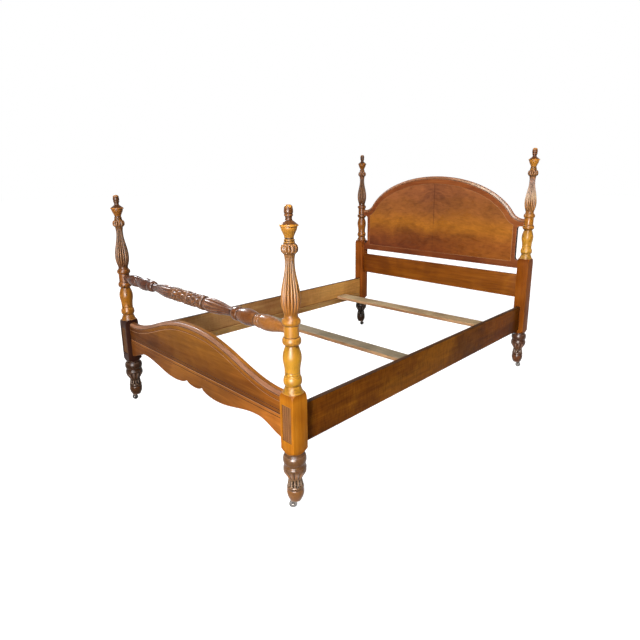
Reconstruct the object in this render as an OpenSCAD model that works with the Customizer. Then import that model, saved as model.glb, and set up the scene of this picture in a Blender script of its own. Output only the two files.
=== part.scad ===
// Four-poster bedstead with turned and reeded posts, a turned blanket rail,
// hooked side rails, loose slats and swivel casters.
// Millimetres, Z up, head of the bed towards +Y, origin on the floor under the middle.

/* [Bedstead] */
// Distance across the bed between post axes
post_spread = 1410; // [1100:1:1700]
// Distance along the bed between post axes
post_length = 2032; // [1800:1:2200]
// Running and glue clearance between pieces that fit each other
fit_gap = 0.2; // [0.1:0.05:0.3]
// Clearance between faces that are screwed together
face_gap = 0.05; // [0.02:0.01:0.1]

/* [Post block] */
// Side of the square block
block_w = 73; // [66:0.5:84]
// Height of the block on a foot post, with its cut corners
foot_block_h = 248.5; // [238:0.5:300]
// Height of the block on a head post, with its cut corners
head_block_h = 503.5; // [495:0.5:560]
// Height over which the lower corners are cut
block_cut_low = 15; // [6:0.5:25]
// Height over which the upper corners are cut
block_cut_high = 26; // [10:0.5:40]
// Width of the sunk panel on the front of a foot post
sunk_w = 47; // [20:1:56]
// Height of the sunk panel
sunk_h = 150; // [60:1:160]
// Depth of the sunk panel
sunk_depth = 3; // [1:0.5:6]
// Sunk panel from the bottom of the block
sunk_up = 51; // [35:1:60]

/* [Turned foot] */
// Each moulding: height, widest or narrowest radius, top radius, place of that radius from 0 to 1
// Radius where the wood stands over the caster
toe_r = 23; // [18:0.5:28]
// Ball above the caster
toe_ball = [52, 34.2, 31.6, 0.7]; // [0.1:0.1:70]
// Ring above the ball
toe_ring = [13, 33.6, 31, 0.5]; // [0.1:0.1:50]
// Bell that narrows to the neck
toe_bell = [26, 30.5, 27.8, 0.3]; // [0.1:0.1:50]
// Bulb under the ring
foot_bulb = [60, 46.3, 43.6, 0.74]; // [0.1:0.1:70]
// Groove over the bulb
foot_groove = [15, 42, 42.5, 0.5]; // [0.1:0.1:60]
// Heavy ring under the block
foot_ring = [34, 46.3, 38.5, 0.45]; // [0.1:0.1:60]
// Neck under the block
foot_neck = [10, 35, 35.5, 0.5]; // [0.1:0.1:60]

/* [Turned post] */
// Radius of the step on top of the block
step_r = 40; // [37:0.5:46]
// Flare above the block
flare = [20, 35.5, 31.5, 0.35]; // [0.1:0.1:60]
// Neck above the flare
flare_neck = [11, 28.5, 28.8, 0.6]; // [0.1:0.1:60]
// Ball above the neck
lower_ball = [33, 35.2, 30, 0.45]; // [0.1:0.1:60]
// Band with two cut rings
ring_band = [24, 29.5, 29.5, 0.5]; // [0.1:0.1:60]
// Depth of those cut rings
ring_cut = 1.6; // [0.5:0.1:3]
// Places of the cut rings, as shares of the band's height
ring_cut_at = [0.3, 0.7]; // [0:0.05:1]
// Vase
vase = [92, 35.6, 25.6, 0.53]; // [0.1:0.1:120]
// Neck above the vase
vase_neck = [8, 24.5, 27, 0.5]; // [0.1:0.1:60]
// Ring under the hub
hub_ring_low = [29, 35.2, 28, 0.45]; // [0.1:0.1:60]
// Hub that takes the blanket rail or the headboard
hub = [46, 28, 28, 0.5]; // [0.1:0.1:60]
// Ring over the hub
hub_ring_high = [29, 34.8, 25.2, 0.45]; // [0.1:0.1:60]
// Neck under the reeded shaft
shaft_neck = [9, 25, 25.2, 0.5]; // [0.1:0.1:60]
// Belly of the reeded shaft
shaft_belly = [56, 36, 36, 0.98]; // [0.1:0.1:120]
// Taper of the reeded shaft
shaft_taper = [134, 36, 18, 0.02]; // [0.1:0.1:200]
// Plain length between the reeds and the collar
shaft_plain = [18, 17.6, 18.4, 0.5]; // [0.1:0.1:60]
// Cove under the collar
collar_cove = [17, 20, 25, 0.6]; // [0.1:0.1:60]
// Collar
collar = [33, 31.3, 20, 0.42]; // [0.1:0.1:60]
// Reeds around a shaft
shaft_reeds = 16; // [10:1:20]
// Depth of the valley between reeds, as a share of the shaft's radius
reed_depth = 0.1; // [0.04:0.01:0.14]
// Step down from the plain turnings to the ends of the reeds
reed_step = 0.4; // [0.2:0.1:1]

/* [Finial] */
// Radius of the neck on the post
finial_neck_r = 18.5; // [16:0.5:24]
// Neck and small ring of the finial
finial_foot = [21, 20.6, 20.2, 0.7]; // [0.1:0.1:60]
// Cup
finial_cup = [34, 30.8, 30.8, 0.98]; // [0.1:0.1:60]
// Rim of the cup
finial_rim = [13, 34.8, 31.5, 0.5]; // [0.1:0.1:60]
// Lid that sweeps up to the knob
finial_lid = [21, 14.4, 13.6, 0.7]; // [0.1:0.1:60]
// Knob
finial_knob = [36, 16.6, 16, 0.3]; // [0.1:0.1:60]
// Rounded top of the knob
finial_dome = [9, 15.8, 3, 0.02]; // [0.1:0.1:60]
// Diameter of the dowel that holds the finial
dowel_d = 14; // [8:0.5:18]
// Length of that dowel
dowel_l = 38; // [20:1:60]

/* [Headboard] */
// Thickness of the headboard
headboard_t = 25; // [18:0.5:32]
// Front of the headboard ahead of the post axes
headboard_fore = 10; // [6:0.5:20]
// Bottom edge below the top of the head post's block
headboard_down = 70; // [62:1:97]
// Height of the arch above its springing line
arch_h = 360; // [300:1:420]
// Springing line of the arch above the bottom edge
arch_up = 233; // [198:1:243]
// Width of the slot between the panel and the post block
slot_w = 34; // [24:0.5:36]
// Bottom of that slot above the bottom edge
slot_up = 53; // [40:1:58]
// Squared corner of that slot at the post, as a share of the radius of its round end
slot_corner = 0.6; // [0:0.1:1]
// Height of the ear that meets the hub, below its top
ear_h = 48; // [30:1:50]
// Top of the ear above the middle of the hub
ear_up = 13; // [5:0.5:20]
// Place on the arch where the fillet into the ear starts, in degrees over the springing line
arch_join = 21; // [18:0.5:24]
// Width of the light stringing
string_w = 2.6; // [1.5:0.1:4]
// Stringing from the panel's side edge
string_in = 25; // [15:1:40]
// Stringing below the crown of the arch
string_drop = 52; // [40:1:70]
// Stringing above the bottom edge
string_up = 41; // [20:1:50]
// Thickness of the veneer and the stringing
veneer_t = 1; // [0.6:0.1:1.5]

/* [Moulded edge] */
// Depth of the moulded edge behind the front
edge_w = 13; // [8:0.5:16]
// Drop of the moulded edge below the top edge
edge_drop = 16; // [8:0.5:18]
// Width of the level lip above the moulding
edge_lip = 3; // [1:0.5:5]
// Step between the moulding and the front
edge_quirk = 1; // [0.4:0.1:2]

/* [Board joints] */
// Thickness of the boards' tenons
tenon_t = 12; // [8:0.5:16]
// Length of the boards' tenons
board_tenon_l = 22; // [12:0.5:26]
// Shoulder above and below a rail's tenon
tenon_shoulder = 14; // [8:0.5:25]
// Shoulder above and below the headboard's tenons
tab_shoulder = 10; // [6:0.5:15]

/* [Head rail] */
// Bottom of the lower head rail below the headboard's bottom edge
head_rail_down = 195; // [185:1:230]
// Height of the lower head rail
head_rail_h = 153; // [120:1:160]
// Thickness of the lower head rail
head_rail_t = 24; // [18:0.5:32]

/* [Footboard] */
// Thickness of the footboard
footboard_t = 28; // [20:0.5:34]
// Front of the footboard ahead of the post axes
footboard_fore = 15; // [8:0.5:22]
// Crown of the arch above the floor
foot_crown = 606; // [580:1:640]
// Top of the footboard's ends above the floor
foot_shoulder = 481; // [440:1:484]
// Underside of the middle drop above the floor
foot_drop = 300; // [285:1:330]
// Level length of the top edge next to each post
foot_flat = 38; // [10:1:60]
// Fullness of the arch: 1 is an even ogee, more holds the crown wider
foot_fullness = 1.2; // [0.8:0.05:1.5]
// Half width of the middle drop
drop_half_w = 68; // [40:1:90]
// Height of the cusps beside the middle drop
drop_cusp = 322; // [305:1:335]
// Lobe beside the middle drop, from the middle of the bed
lobe_x = 190; // [130:1:240]
// Lowest point of the lobe above the floor
lobe_low = 290; // [275:1:310]
// Highest point of the long curve, from the middle of the bed
cyma_x = 500; // [380:1:505]
// Height of that point above the floor
cyma_high = 333; // [315:1:345]
// Underside at the posts above the floor
foot_end_low = 288; // [270:1:310]
// Lowest of the three level lines above the floor
foot_line_up = 372; // [355:1:380]
// Distance between the level lines
foot_line_pitch = 16; // [8:0.5:20]
// Width of a cut line
line_w = 3; // [1.5:0.1:4]
// Depth of a cut line
line_depth = 1.2; // [0.5:0.1:2]
// Arched line below the top edge
foot_line_drop = 37; // [24:1:44]

/* [Blanket rail] */
// Each moulding, from the post inwards: length, extreme radius, end radius, place of that radius
// Radius where the rail meets the hub
rail_end_r = 15.6; // [12:0.5:20]
// Vase next to the post
rail_vase = [142, 30.2, 25.5, 0.75]; // [0.1:0.1:200]
// Wider bead between the vase and the barrel
rail_bead = [16, 28.4, 23.4, 0.5]; // [0.1:0.1:60]
// Smaller bead next to the barrel
rail_bead_small = [12, 26.4, 23.4, 0.5]; // [0.1:0.1:60]
// Barrel
rail_barrel = [116, 33, 24.6, 0.55]; // [0.1:0.1:120]
// Ring between the barrel and the reeds
rail_ring = [42, 29.4, 18.6, 0.38]; // [0.1:0.1:60]
// Reeded taper, narrow end outwards
rail_taper = [166, 33, 33, 0.98]; // [0.1:0.1:200]
// Reeded belly next to the middle
rail_belly = [50, 33, 26, 0.02]; // [0.1:0.1:60]
// Bead that ends the carved middle
rail_stop = [18, 32.6, 29.8, 0.5]; // [0.1:0.1:60]
// Radius of the bead on the middle of the rail
rail_knot_r = 32.6; // [31:0.1:36]
// Width of that bead
rail_knot_w = 18; // [8:0.5:30]
// Reeds around the blanket rail
rail_reeds = 12; // [8:1:16]
// Diameter of the rail's tenon in the hub
tenon_d = 18; // [12:0.5:22]
// Length of the rail's tenon in the hub
tenon_l = 20; // [12:0.5:24]

/* [Side rails] */
// Height of a side rail
side_rail_h = 162; // [120:1:180]
// Thickness of a side rail
side_rail_t = 24; // [18:0.5:30]
// Bottom of a side rail above the floor
side_rail_low = 268; // [266:1:300]
// Outer face of a side rail in from the outer face of the block
side_rail_set = 31; // [4:0.5:34]
// Height of a ledger
ledger_h = 36; // [25:1:50]
// Thickness of a ledger
ledger_t = 20; // [15:0.5:30]
// Flat that eases the upper corners of a side rail
rail_ease = 2; // [0.5:0.5:4]
// Ledger stops short of each block
ledger_short = 38; // [20:1:80]
// Screws in each ledger
ledger_screws_n = 6; // [4:1:9]
// Shank diameter of a ledger screw
screw_d = 4; // [3:0.1:5]
// Head diameter of a ledger screw
screw_head_d = 8; // [7:0.1:10]
// Length of a ledger screw
screw_l = 34; // [26:1:40]

/* [Rail hooks] */
// Height of a hook plate
plate_h = 130; // [100:1:140]
// Width of a hook plate
plate_w = 16; // [10:0.5:17]
// Thickness of a hook plate
plate_t = 3; // [2:0.1:4]
// Thickness of a hook
hook_t = 3; // [2:0.1:4]
// Reach of a hook into the post
hook_reach = 15; // [12:0.5:18]
// Height of a hook
hook_h = 24; // [20:0.5:30]
// Height by which a hook is lifted to free the rail
hook_lift = 14; // [12:0.5:18]
// Play of a hook in its slot
hook_play = 1.5; // [0.5:0.1:2]
// Distance between the two hooks of a plate
hook_pitch = 80; // [60:1:100]
// Diameter of the pin that a hook catches
pin_d = 5; // [3:0.1:6]
// Length of that pin
pin_l = 50; // [40:1:60]

/* [Slats] */
// Width of the slat near the foot
slat_foot_w = 88; // [60:1:140]
// Width of the slat near the head
slat_head_w = 104; // [60:1:140]
// Thickness of a slat
slat_t = 20; // [14:0.5:28]
// Flat that eases a slat's long corners
slat_ease = 1.5; // [0.5:0.5:4]
// Side play of a slat between the rails
slat_play = 6; // [3:0.5:15]
// Slat near the foot, from the middle of the bed
slat_foot_y = -72; // [-400:1:100]
// Slat near the head, from the head end of the side rails
slat_head_in = 211.3; // [170:0.1:600]
// Turn of the slat near the head
slat_head_turn = 2.6; // [0:0.1:3]
// Turn of the slat near the foot
slat_foot_turn = 1.2; // [0:0.1:3]

/* [Casters] */
// Diameter of a caster wheel
wheel_d = 32; // [26:0.5:40]
// Width of a caster wheel
wheel_w = 12; // [8:0.5:16]
// Distance from the swivel axis to the wheel's axle
trail = 11; // [8:0.5:16]
// Diameter of the caster's stem
stem_d = 8; // [6:0.1:10]
// Length of the caster's stem
stem_l = 40; // [25:1:45]
// Outer diameter of the socket in the post
socket_d = 12; // [11:0.5:16]
// Diameter of the socket's flange
flange_d = 28; // [22:1:34]
// Diameter of the wheel's axle
axle_d = 3.6; // [3:0.1:5]
// Wall around the axle in the fork
boss_wall = 2.6; // [1.5:0.1:4]
// Thickness of the fork's metal
fork_t = 2; // [1.5:0.1:3]
// Thickness of the fork's crown
crown_t = 2.5; // [2:0.1:4]
// Radius of the fork's crown around the stem
crown_r = 9.5; // [8.5:0.1:12]
// Reach of the crown towards the axle
crown_reach = 14; // [10:0.5:18]
// Gap between the wheel and the crown over it
wheel_gap = 1.5; // [1:0.1:3]
// Gap between the wheel and each cheek
cheek_gap = 0.5; // [0.3:0.1:1]
// Gap between the crown and the flange over it
swivel_gap = 0.5; // [0.3:0.1:1]
// Thickness of the socket's flange
flange_t = 2; // [1.5:0.1:3]
// Play of the stem in its socket, on the diameter
stem_play = 0.12; // [0.1:0.01:0.2]
// Room over the stem inside the socket
stem_room = 2; // [1:0.5:4]
// Play of the wheel on its axle, on the radius
wheel_play = 0.06; // [0.05:0.01:0.1]
// Radius of the wheel's rounded tread corners
tread_r = 4; // [2:0.5:5]
// Radius of the axle's rivet heads
rivet_r = 3; // [2.6:0.1:4]
// Height of those heads
rivet_h = 1.2; // [0.8:0.1:2]
// Wall of the wheel's hub around its bore
wheel_hub_wall = 2.5; // [1.5:0.1:4]
// Depth of the dish in each side of the wheel
wheel_dish = 1.2; // [0.5:0.1:2]
// Swivel of each caster as it stands, in degrees from the bed's right
turn_head_left = 65; // [-180:1:180]
// Swivel of the caster under the right head post
turn_head_right = 40; // [-180:1:180]
// Swivel of the caster under the left foot post
turn_foot_left = -145; // [-180:1:180]
// Swivel of the caster under the right foot post
turn_foot_right = -135; // [-180:1:180]

/* [Hidden] */

$fn = 72;
// Steps of the curved mouldings and arches
MOULD_STEPS = 5;
ARCH_STEPS = 14;
FILLET_STEPS = 5;
EDGE_STEPS = 4;
FOOT_STEPS = 20;
UNDER_STEPS = 7;
REED_SIDES = 4;
// How far pieces of one solid run into each other
BURY = 1.5;
// Places of the band and of the hub in the stack over the block
BAND_AT = 3;
HUB_AT = 7;

// Caster heights, from the floor up
wheel_r = wheel_d / 2;
crown_low = wheel_d + wheel_gap;
flange_low = crown_low + crown_t + swivel_gap;
wood_low = flange_low + flange_t;

// Stacks of mouldings, from the bottom up: each with the form of its lower and upper part
FOOT_STACK = [
    [toe_ball, "belly", "bead"], [toe_ring, "bead", "bead"], [toe_bell, "plain", "vase"],
    [foot_bulb, "vase", "bead"], [foot_groove, "vase", "vase"], [foot_ring, "bead", "bead"],
    [foot_neck, "vase", "vase"]
];
LOW_STACK = [
    [flare, "vase", "vase"], [flare_neck, "vase", "vase"], [lower_ball, "bead", "bead"],
    [ring_band, "plain", "cone"], [vase, "vase", "belly"], [vase_neck, "vase", "vase"],
    [hub_ring_low, "bead", "bead"], [hub, "plain", "cone"], [hub_ring_high, "bead", "belly"],
    [shaft_neck, "plain", "cone"]
];
SHAFT_STACK = [[shaft_belly, "belly", "plain"], [shaft_taper, "plain", "vase"]];
HIGH_STACK = [
    [shaft_plain, "vase", "vase"], [collar_cove, "vase", "vase"], [collar, "bead", "bead"]
];
FINIAL_STACK = [
    [finial_foot, "bead", "vase"], [finial_cup, "belly", "plain"], [finial_rim, "bead", "bead"],
    [finial_lid, "vase", "vase"], [finial_knob, "bead", "cone"], [finial_dome, "plain", "bead"]
];
RAIL_OUTER_STACK = [
    [rail_vase, "vase", "bead"], [rail_bead, "bead", "bead"], [rail_bead_small, "bead", "bead"],
    [rail_barrel, "belly", "belly"], [rail_ring, "bead", "bead"]
];
RAIL_REED_STACK = [[rail_taper, "vase", "plain"], [rail_belly, "plain", "belly"]];

// Share of the way from a moulding's end to its extreme, for s from 0 to 1
function rise(form, s) =
    form == "bead" ? sqrt(1 - (1 - s) * (1 - s)) :
    form == "belly" ? sin(90 * s) :
    form == "vase" ? (1 - cos(180 * s)) / 2 : s;

// A bead turns quickly at its ends, so its points lie closer there
function along(form, q) = form == "bead" ? 1 - cos(90 * q) : q;
function steps(form) = form == "plain" ? 0 : form == "cone" ? 1 : MOULD_STEPS;

// Points of one moulding that starts at radius r_low and height z
function moulding(m, r_low, z) =
    let (h = m[0][0], r_mid = m[0][1], r_top = m[0][2], at = m[0][3], n = steps(m[1]), k = steps(m[2]))
    concat(
        [for (i = [1:1:n]) let (s = along(m[1], i / n))
            [r_low + (r_mid - r_low) * rise(m[1], s), z + h * at * s]],
        [for (i = [1:1:k]) let (s = along(m[2], 1 - i / k))
            [r_top + (r_mid - r_top) * rise(m[2], s), z + h * (1 - (1 - at) * s)]]
    );

// Height of the first i mouldings of a stack, and of the whole stack
function height_to(stack, i) = i <= 0 ? 0 : height_to(stack, i - 1) + stack[i - 1][0][0];
function height_of(stack) = height_to(stack, len(stack));
function end_r(stack, i) = stack[i][0][2];

// Points of a whole stack that starts at radius r0 and height z0
function stack_path(stack, r0, z0) = [
    for (i = [0:1:len(stack) - 1])
        each moulding(stack[i], i == 0 ? r0 : end_r(stack, i - 1), z0 + height_to(stack, i))
];

// Heights of a post
block_low = wood_low + height_of(FOOT_STACK);
corner_r = block_w / sqrt(2);
function block_h(end) = end < 0 ? foot_block_h : head_block_h;
function block_top(end) = block_low + block_h(end);
function hub_mid(end) = block_top(end) + height_to(LOW_STACK, HUB_AT) + hub[0] / 2;
function shaft_low(end) = block_top(end) + height_of(LOW_STACK);
function plain_low(end) = shaft_low(end) + height_of(SHAFT_STACK);
function post_top(end) = plain_low(end) + height_of(HIGH_STACK);
hub_r = hub[1];

// Heights of the headboard and of the rail under it, hung from the head post's block
headboard_low = block_top(1) - headboard_down;
arch_spring = headboard_low + arch_up;
slot_low = headboard_low + slot_up;
head_rail_low = headboard_low - head_rail_down;

// Places across and along the bed
post_x = post_spread / 2;
post_y = post_length / 2;
block_half = block_w / 2;
inner_x = post_x - block_half;
rail_mid_x = post_x + block_half - side_rail_set - side_rail_t / 2;
rail_inner_x = rail_mid_x - side_rail_t / 2;
rail_end_y = post_y - block_half - fit_gap;
rail_mid_z = side_rail_low + side_rail_h / 2;
ledger_top = side_rail_low + ledger_h;

// One turned solid from a stack, with flat ends; grow widens its radii
module turned(stack, r0, z0, grow = 0) {
    path = [for (p = concat([[r0, z0]], stack_path(stack, r0, z0))) [p[0] + grow, p[1]]];
    rotate_extrude() polygon(concat([[0, z0]], path, [[0, z0 + height_of(stack)]]));
}

// Skin over rings of n points each, with flat ends
module loft(rings, n) {
    last = len(rings) - 1;
    polyhedron(
        points = [for (ring = rings) each ring],
        faces = concat(
            [for (k = [0:1:last - 1]) for (i = [0:1:n - 1]) let (j = (i + 1) % n)
                [k * n + i, (k + 1) * n + i, (k + 1) * n + j]],
            [for (k = [0:1:last - 1]) for (i = [0:1:n - 1]) let (j = (i + 1) % n)
                [k * n + i, (k + 1) * n + j, k * n + j]],
            [[for (i = [0:1:n - 1]) i]],
            [[for (i = [n - 1:-1:0]) last * n + i]]
        ),
        convexity = 8
    );
}

// One ring of reeds: round crests with a valley between each pair
function reed_ring(r, z, reeds) = [
    for (i = [0:1:REED_SIDES * reeds - 1])
        let (
            turn = 360 * i / (REED_SIDES * reeds),
            q = r * (1 - reed_depth * (1 - abs(sin(180 * i / REED_SIDES))))
        )
        [q * cos(turn), q * sin(turn), z]
];

// Reeded length of a shaft; its ends run a little into the plain turnings
module reeded(stack, r0, z0, reeds) {
    path = stack_path(stack, r0, z0);
    top = z0 + height_of(stack);
    low_r = r0 - reed_step;
    top_r = end_r(stack, len(stack) - 1) - reed_step;
    profile = concat(
        [[low_r, z0 - BURY], [low_r, z0]],
        [for (i = [0:1:len(path) - 2]) path[i]],
        [[top_r, top], [top_r, top + BURY]]
    );
    loft([for (p = profile) reed_ring(p[0], p[1], reeds)], REED_SIDES * reeds);
}

// Square block whose corners are cut back to the turned parts below and above
module block(end) {
    top = block_top(end);
    low_r = end_r(FOOT_STACK, len(FOOT_STACK) - 1);
    shoulder = [
        for (i = [MOULD_STEPS:-1:0]) let (s = along("bead", i / MOULD_STEPS))
            [step_r + (corner_r - step_r) * rise("bead", s), top - block_cut_high * s]
    ];
    intersection() {
        translate([-block_half, -block_half, block_low]) cube([block_w, block_w, block_h(end)]);
        rotate_extrude()
            polygon(concat(
                [[0, block_low], [low_r, block_low], [corner_r, block_low + block_cut_low]],
                [[corner_r + BURY, block_low + block_cut_low + BURY]],
                [[corner_r + BURY, top - block_cut_high - BURY]],
                shoulder,
                [[0, top]]
            ));
    }
}

// Slots and pin bores for the two hooks of one side rail, for a post at side and end
module hook_slots(side, end) {
    slot_x = side * (rail_mid_x - post_x);
    face_y = -end * block_half;
    depth = hook_reach + hook_play;
    for (up = [-1, 1]) {
        mid_z = rail_mid_z + up * hook_pitch / 2;
        low_z = mid_z - hook_h / 2 - hook_play;
        low_y = face_y - (end < 0 ? depth : BURY);
        translate([slot_x - hook_t / 2 - hook_play / 2, low_y, low_z])
            cube([hook_t + hook_play, depth + BURY, hook_h + hook_lift + 2 * hook_play]);
        translate([slot_x, face_y + end * (hook_pin_in - fit_gap), pin_z(up)])
            rotate([0, 90, 0]) cylinder(d = pin_d + fit_gap, h = pin_l + fit_gap, center = true);
    }
}

// Height of the pin that the upper or lower hook of a plate bears on
function pin_z(up) = rail_mid_z + up * hook_pitch / 2 - pin_d / 2 - fit_gap / 2;
hook_pin_in = hook_reach / 2;

// Puts a piece drawn about the origin on a post's axis: side -1 is left and 1 is right,
// end -1 is foot and 1 is head
module standing(side, end) {
    translate([side * post_x, end * post_y, 0]) children();
}

// A whole post: foot, block, lower turnings, reeded shaft and collar
module post(side, end) color("sienna") standing(side, end) {
    neck_r = end_r(LOW_STACK, len(LOW_STACK) - 1);
    shaft_end_r = end_r(SHAFT_STACK, 1);
    difference() {
        union() {
            turned(FOOT_STACK, toe_r, wood_low);
            block(end);
            turned(LOW_STACK, step_r, block_top(end));
            reeded(SHAFT_STACK, neck_r, shaft_low(end), shaft_reeds);
            turned(HIGH_STACK, shaft_end_r, plain_low(end));
        }
        translate([0, 0, wood_low - BURY]) cylinder(d = socket_d + fit_gap, h = socket_h + BURY + fit_gap);
        translate([0, 0, post_top(end) - dowel_l - fit_gap])
            cylinder(d = dowel_d + fit_gap, h = dowel_l + BURY);
        for (at = ring_cut_at)
            translate([0, 0, block_top(end) + height_to(LOW_STACK, BAND_AT) + ring_band[0] * at])
                rotate_extrude()
                    polygon([
                        [ring_band[1] - ring_cut, 0], [ring_band[1] + BURY, -ring_cut - BURY],
                        [ring_band[1] + BURY, ring_cut + BURY]
                    ]);
        hook_slots(side, end);
        if (end < 0) foot_post_cuts(side);
        else head_post_cuts(side);
    }
}

// Front panel, footboard mortise and blanket rail bore of a foot post
module foot_post_cuts(side) {
    translate([-sunk_w / 2, -block_half - BURY, block_low + sunk_up])
        cube([sunk_w, sunk_depth + BURY, sunk_h]);
    mortise(side, footboard_mid - -post_y, foot_tenon_low, foot_tenon_high);
    translate([-side * (hub_r - tenon_l - fit_gap), 0, hub_mid(-1)])
        rotate([0, -side * 90, 0]) cylinder(d = tenon_d + fit_gap, h = tenon_l + hub_r);
}

// Mortises of a head post for the lower rail and the headboard
module head_post_cuts(side) {
    mortise(side, 0, head_rail_low + tenon_shoulder, head_rail_low + head_rail_h - tenon_shoulder);
    mortise(side, headboard_mid - post_y, headboard_low + tab_shoulder, slot_low - tab_shoulder);
}

// Blind mortise in the block's inner face, from height low to high, y from the post axis
module mortise(side, y, low, high) {
    depth = board_tenon_l + fit_gap;
    face_x = side < 0 ? block_half - depth : -block_half - BURY;
    translate([face_x, y - tenon_t / 2 - fit_gap / 2, low - fit_gap / 2])
        cube([depth + BURY, tenon_t + fit_gap, high - low + fit_gap]);
}

// Tenon on a board's end that fits that mortise
module tenon(side, y, low, high) {
    translate([side < 0 ? -inner_x - board_tenon_l : inner_x - BURY, y - tenon_t / 2, low])
        cube([board_tenon_l + BURY, tenon_t, high - low]);
}

footboard_mid = -post_y - footboard_fore + footboard_t / 2;
headboard_mid = post_y - headboard_fore + headboard_t / 2;
foot_tenon_low = foot_end_low + tenon_shoulder;
foot_tenon_high = foot_shoulder - edge_drop - tenon_shoulder;
ear_top = hub_mid(1) + ear_up;
ear_low = ear_top - ear_h;
// The ears run on into the hubs' space; the post's own turnings then trim them
ear_x = post_x - hub_r / 2;
panel_x = inner_x - slot_w;

// A path is a list of [point, outward normal]; this gives its points moved inwards by s
function inset(path, s) = [for (p = path) p[0] - s * p[1]];

function backwards(list) = [for (i = [len(list) - 1:-1:0]) list[i]];

// Right half of the headboard's arch: ellipse from the crown, then a fillet into the ear
function unit(v) = v / norm(v);
function arch_normal(t) = unit([cos(t) / panel_x, sin(t) / arch_h]);
function arch_point(t) = [panel_x * cos(t), arch_spring + arch_h * sin(t)];
join_point = arch_point(arch_join);
join_normal = arch_normal(arch_join);
fillet_r = (join_point[1] - ear_top) / (1 - join_normal[1]);
fillet_mid = join_point + fillet_r * join_normal;
join_turn = atan2(-join_normal[1], -join_normal[0]);
half_arch = concat(
    [for (i = [0:1:ARCH_STEPS]) let (t = 90 - (90 - arch_join) * i / ARCH_STEPS)
        [arch_point(t), arch_normal(t)]],
    [for (i = [1:1:FILLET_STEPS]) let (t = join_turn + (-90 - join_turn) * i / FILLET_STEPS)
        [fillet_mid + fillet_r * [cos(t), sin(t)], -[cos(t), sin(t)]]],
    [[[ear_x, ear_top], [0, 1]]]
);
function mirrored(path) = [
    for (i = [len(path) - 1:-1:1]) [[-path[i][0][0], path[i][0][1]], [-path[i][1][0], path[i][1][1]]]
];
head_arch = concat(mirrored(half_arch), half_arch);

// Top edge of the footboard: an eased arch that ends level at the posts
foot_reach = inner_x - foot_flat;
function foot_top(x) =
    let (q = min(1, abs(x) / foot_reach))
    foot_crown - (foot_crown - foot_shoulder) * rise("vase", pow(q, foot_fullness));
function foot_normal(x) = unit([foot_top(x - 1) - foot_top(x + 1), 2]);
foot_arch = [
    for (i = [-FOOT_STEPS:1:FOOT_STEPS])
        let (x = (inner_x - fit_gap) * i / FOOT_STEPS) [[x, foot_top(x)], foot_normal(x)]
];

// Underside of the footboard's right half, from the middle outwards:
// a middle drop, a lobe on each side of it, and a long cyma to the post
under_xs = [0, drop_half_w, lobe_x, cyma_x, inner_x - fit_gap];
under_zs = [foot_drop, drop_cusp, lobe_low, cyma_high, foot_end_low];
under_forms = ["dip", "lobe", "vase", "vase"];
function under_share(form, q) =
    form == "dip" ? 1 - rise("bead", 1 - q) : form == "lobe" ? rise("bead", q) : rise("vase", q);
half_under = [
    for (k = [0:1:3])
        for (i = [k == 0 ? 0 : 1:1:UNDER_STEPS])
            let (q = i / UNDER_STEPS)
            [under_xs[k] + (under_xs[k + 1] - under_xs[k]) * q,
             under_zs[k] + (under_zs[k + 1] - under_zs[k]) * under_share(under_forms[k], q)]
];
foot_under = concat(
    backwards(half_under),
    [for (i = [1:1:len(half_under) - 1]) [-half_under[i][0], half_under[i][1]]]
);

// Board that stands across the bed, its front at y: shapes are drawn as (x, height)
module upright(y, t) {
    translate([0, y + t, 0]) rotate([90, 0, 0]) linear_extrude(t) children();
}

// Section of the ovolo edge as [distance in from the outline, depth behind the front],
// between the full outline behind and the smaller outline in front
edge_section = concat(
    [[edge_drop + BURY, edge_w + BURY], [edge_lip, edge_w + BURY]],
    [for (i = [EDGE_STEPS:-1:0]) let (a = 90 * i / EDGE_STEPS)
        [edge_drop - (edge_drop - edge_lip) * sin(a), edge_w - (edge_w - edge_quirk) * cos(a)]],
    [[edge_drop + BURY, edge_quirk]]
);
module edge_moulding(path, y) {
    loft(
        [for (p = path) [for (c = edge_section)
            [p[0][0] - c[0] * p[1][0], y + c[1], p[0][1] - c[0] * p[1][1]]]],
        len(edge_section)
    );
}

module footboard_outline(s) {
    polygon(concat(inset(foot_arch, s), foot_under));
}

module footboard_panel() color("peru") {
    front = -post_y - footboard_fore;
    difference() {
        union() {
            upright(front + edge_w, footboard_t - edge_w) footboard_outline(0);
            upright(front, footboard_t) footboard_outline(edge_drop);
            edge_moulding(foot_arch, front);
        }
        for (i = [0, 1, 2])
            translate([-post_x, front - BURY, foot_line_up + i * foot_line_pitch - line_w / 2])
                cube([post_spread, line_depth + BURY, line_w]);
        upright(front - BURY, line_depth + BURY)
            polygon(concat(
                inset(foot_arch, foot_line_drop),
                backwards(inset(foot_arch, foot_line_drop + line_w))
            ));
    }
    for (side = [-1, 1]) tenon(side, footboard_mid, foot_tenon_low, foot_tenon_high);
}

// Region of the headboard inside the stringing, moved inwards by s
module field(s) {
    half_w = panel_x - string_in - s;
    low = headboard_low + string_up + s;
    intersection() {
        polygon(concat([[-ear_x, low]], inset(head_arch, string_drop + s), [[ear_x, low]]));
        translate([-half_w, low]) square([2 * half_w, arch_spring + arch_h]);
    }
}

module headboard_outline(s) {
    end_x = inner_x - fit_gap;
    difference() {
        polygon(concat(
            inset(head_arch, s),
            [[ear_x, ear_low], [end_x, ear_low], [end_x, headboard_low]],
            [[-end_x, headboard_low], [-end_x, ear_low], [-ear_x, ear_low]]
        ));
        for (side = [-1, 1]) scale([side, 1]) headboard_slot();
    }
}

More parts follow.
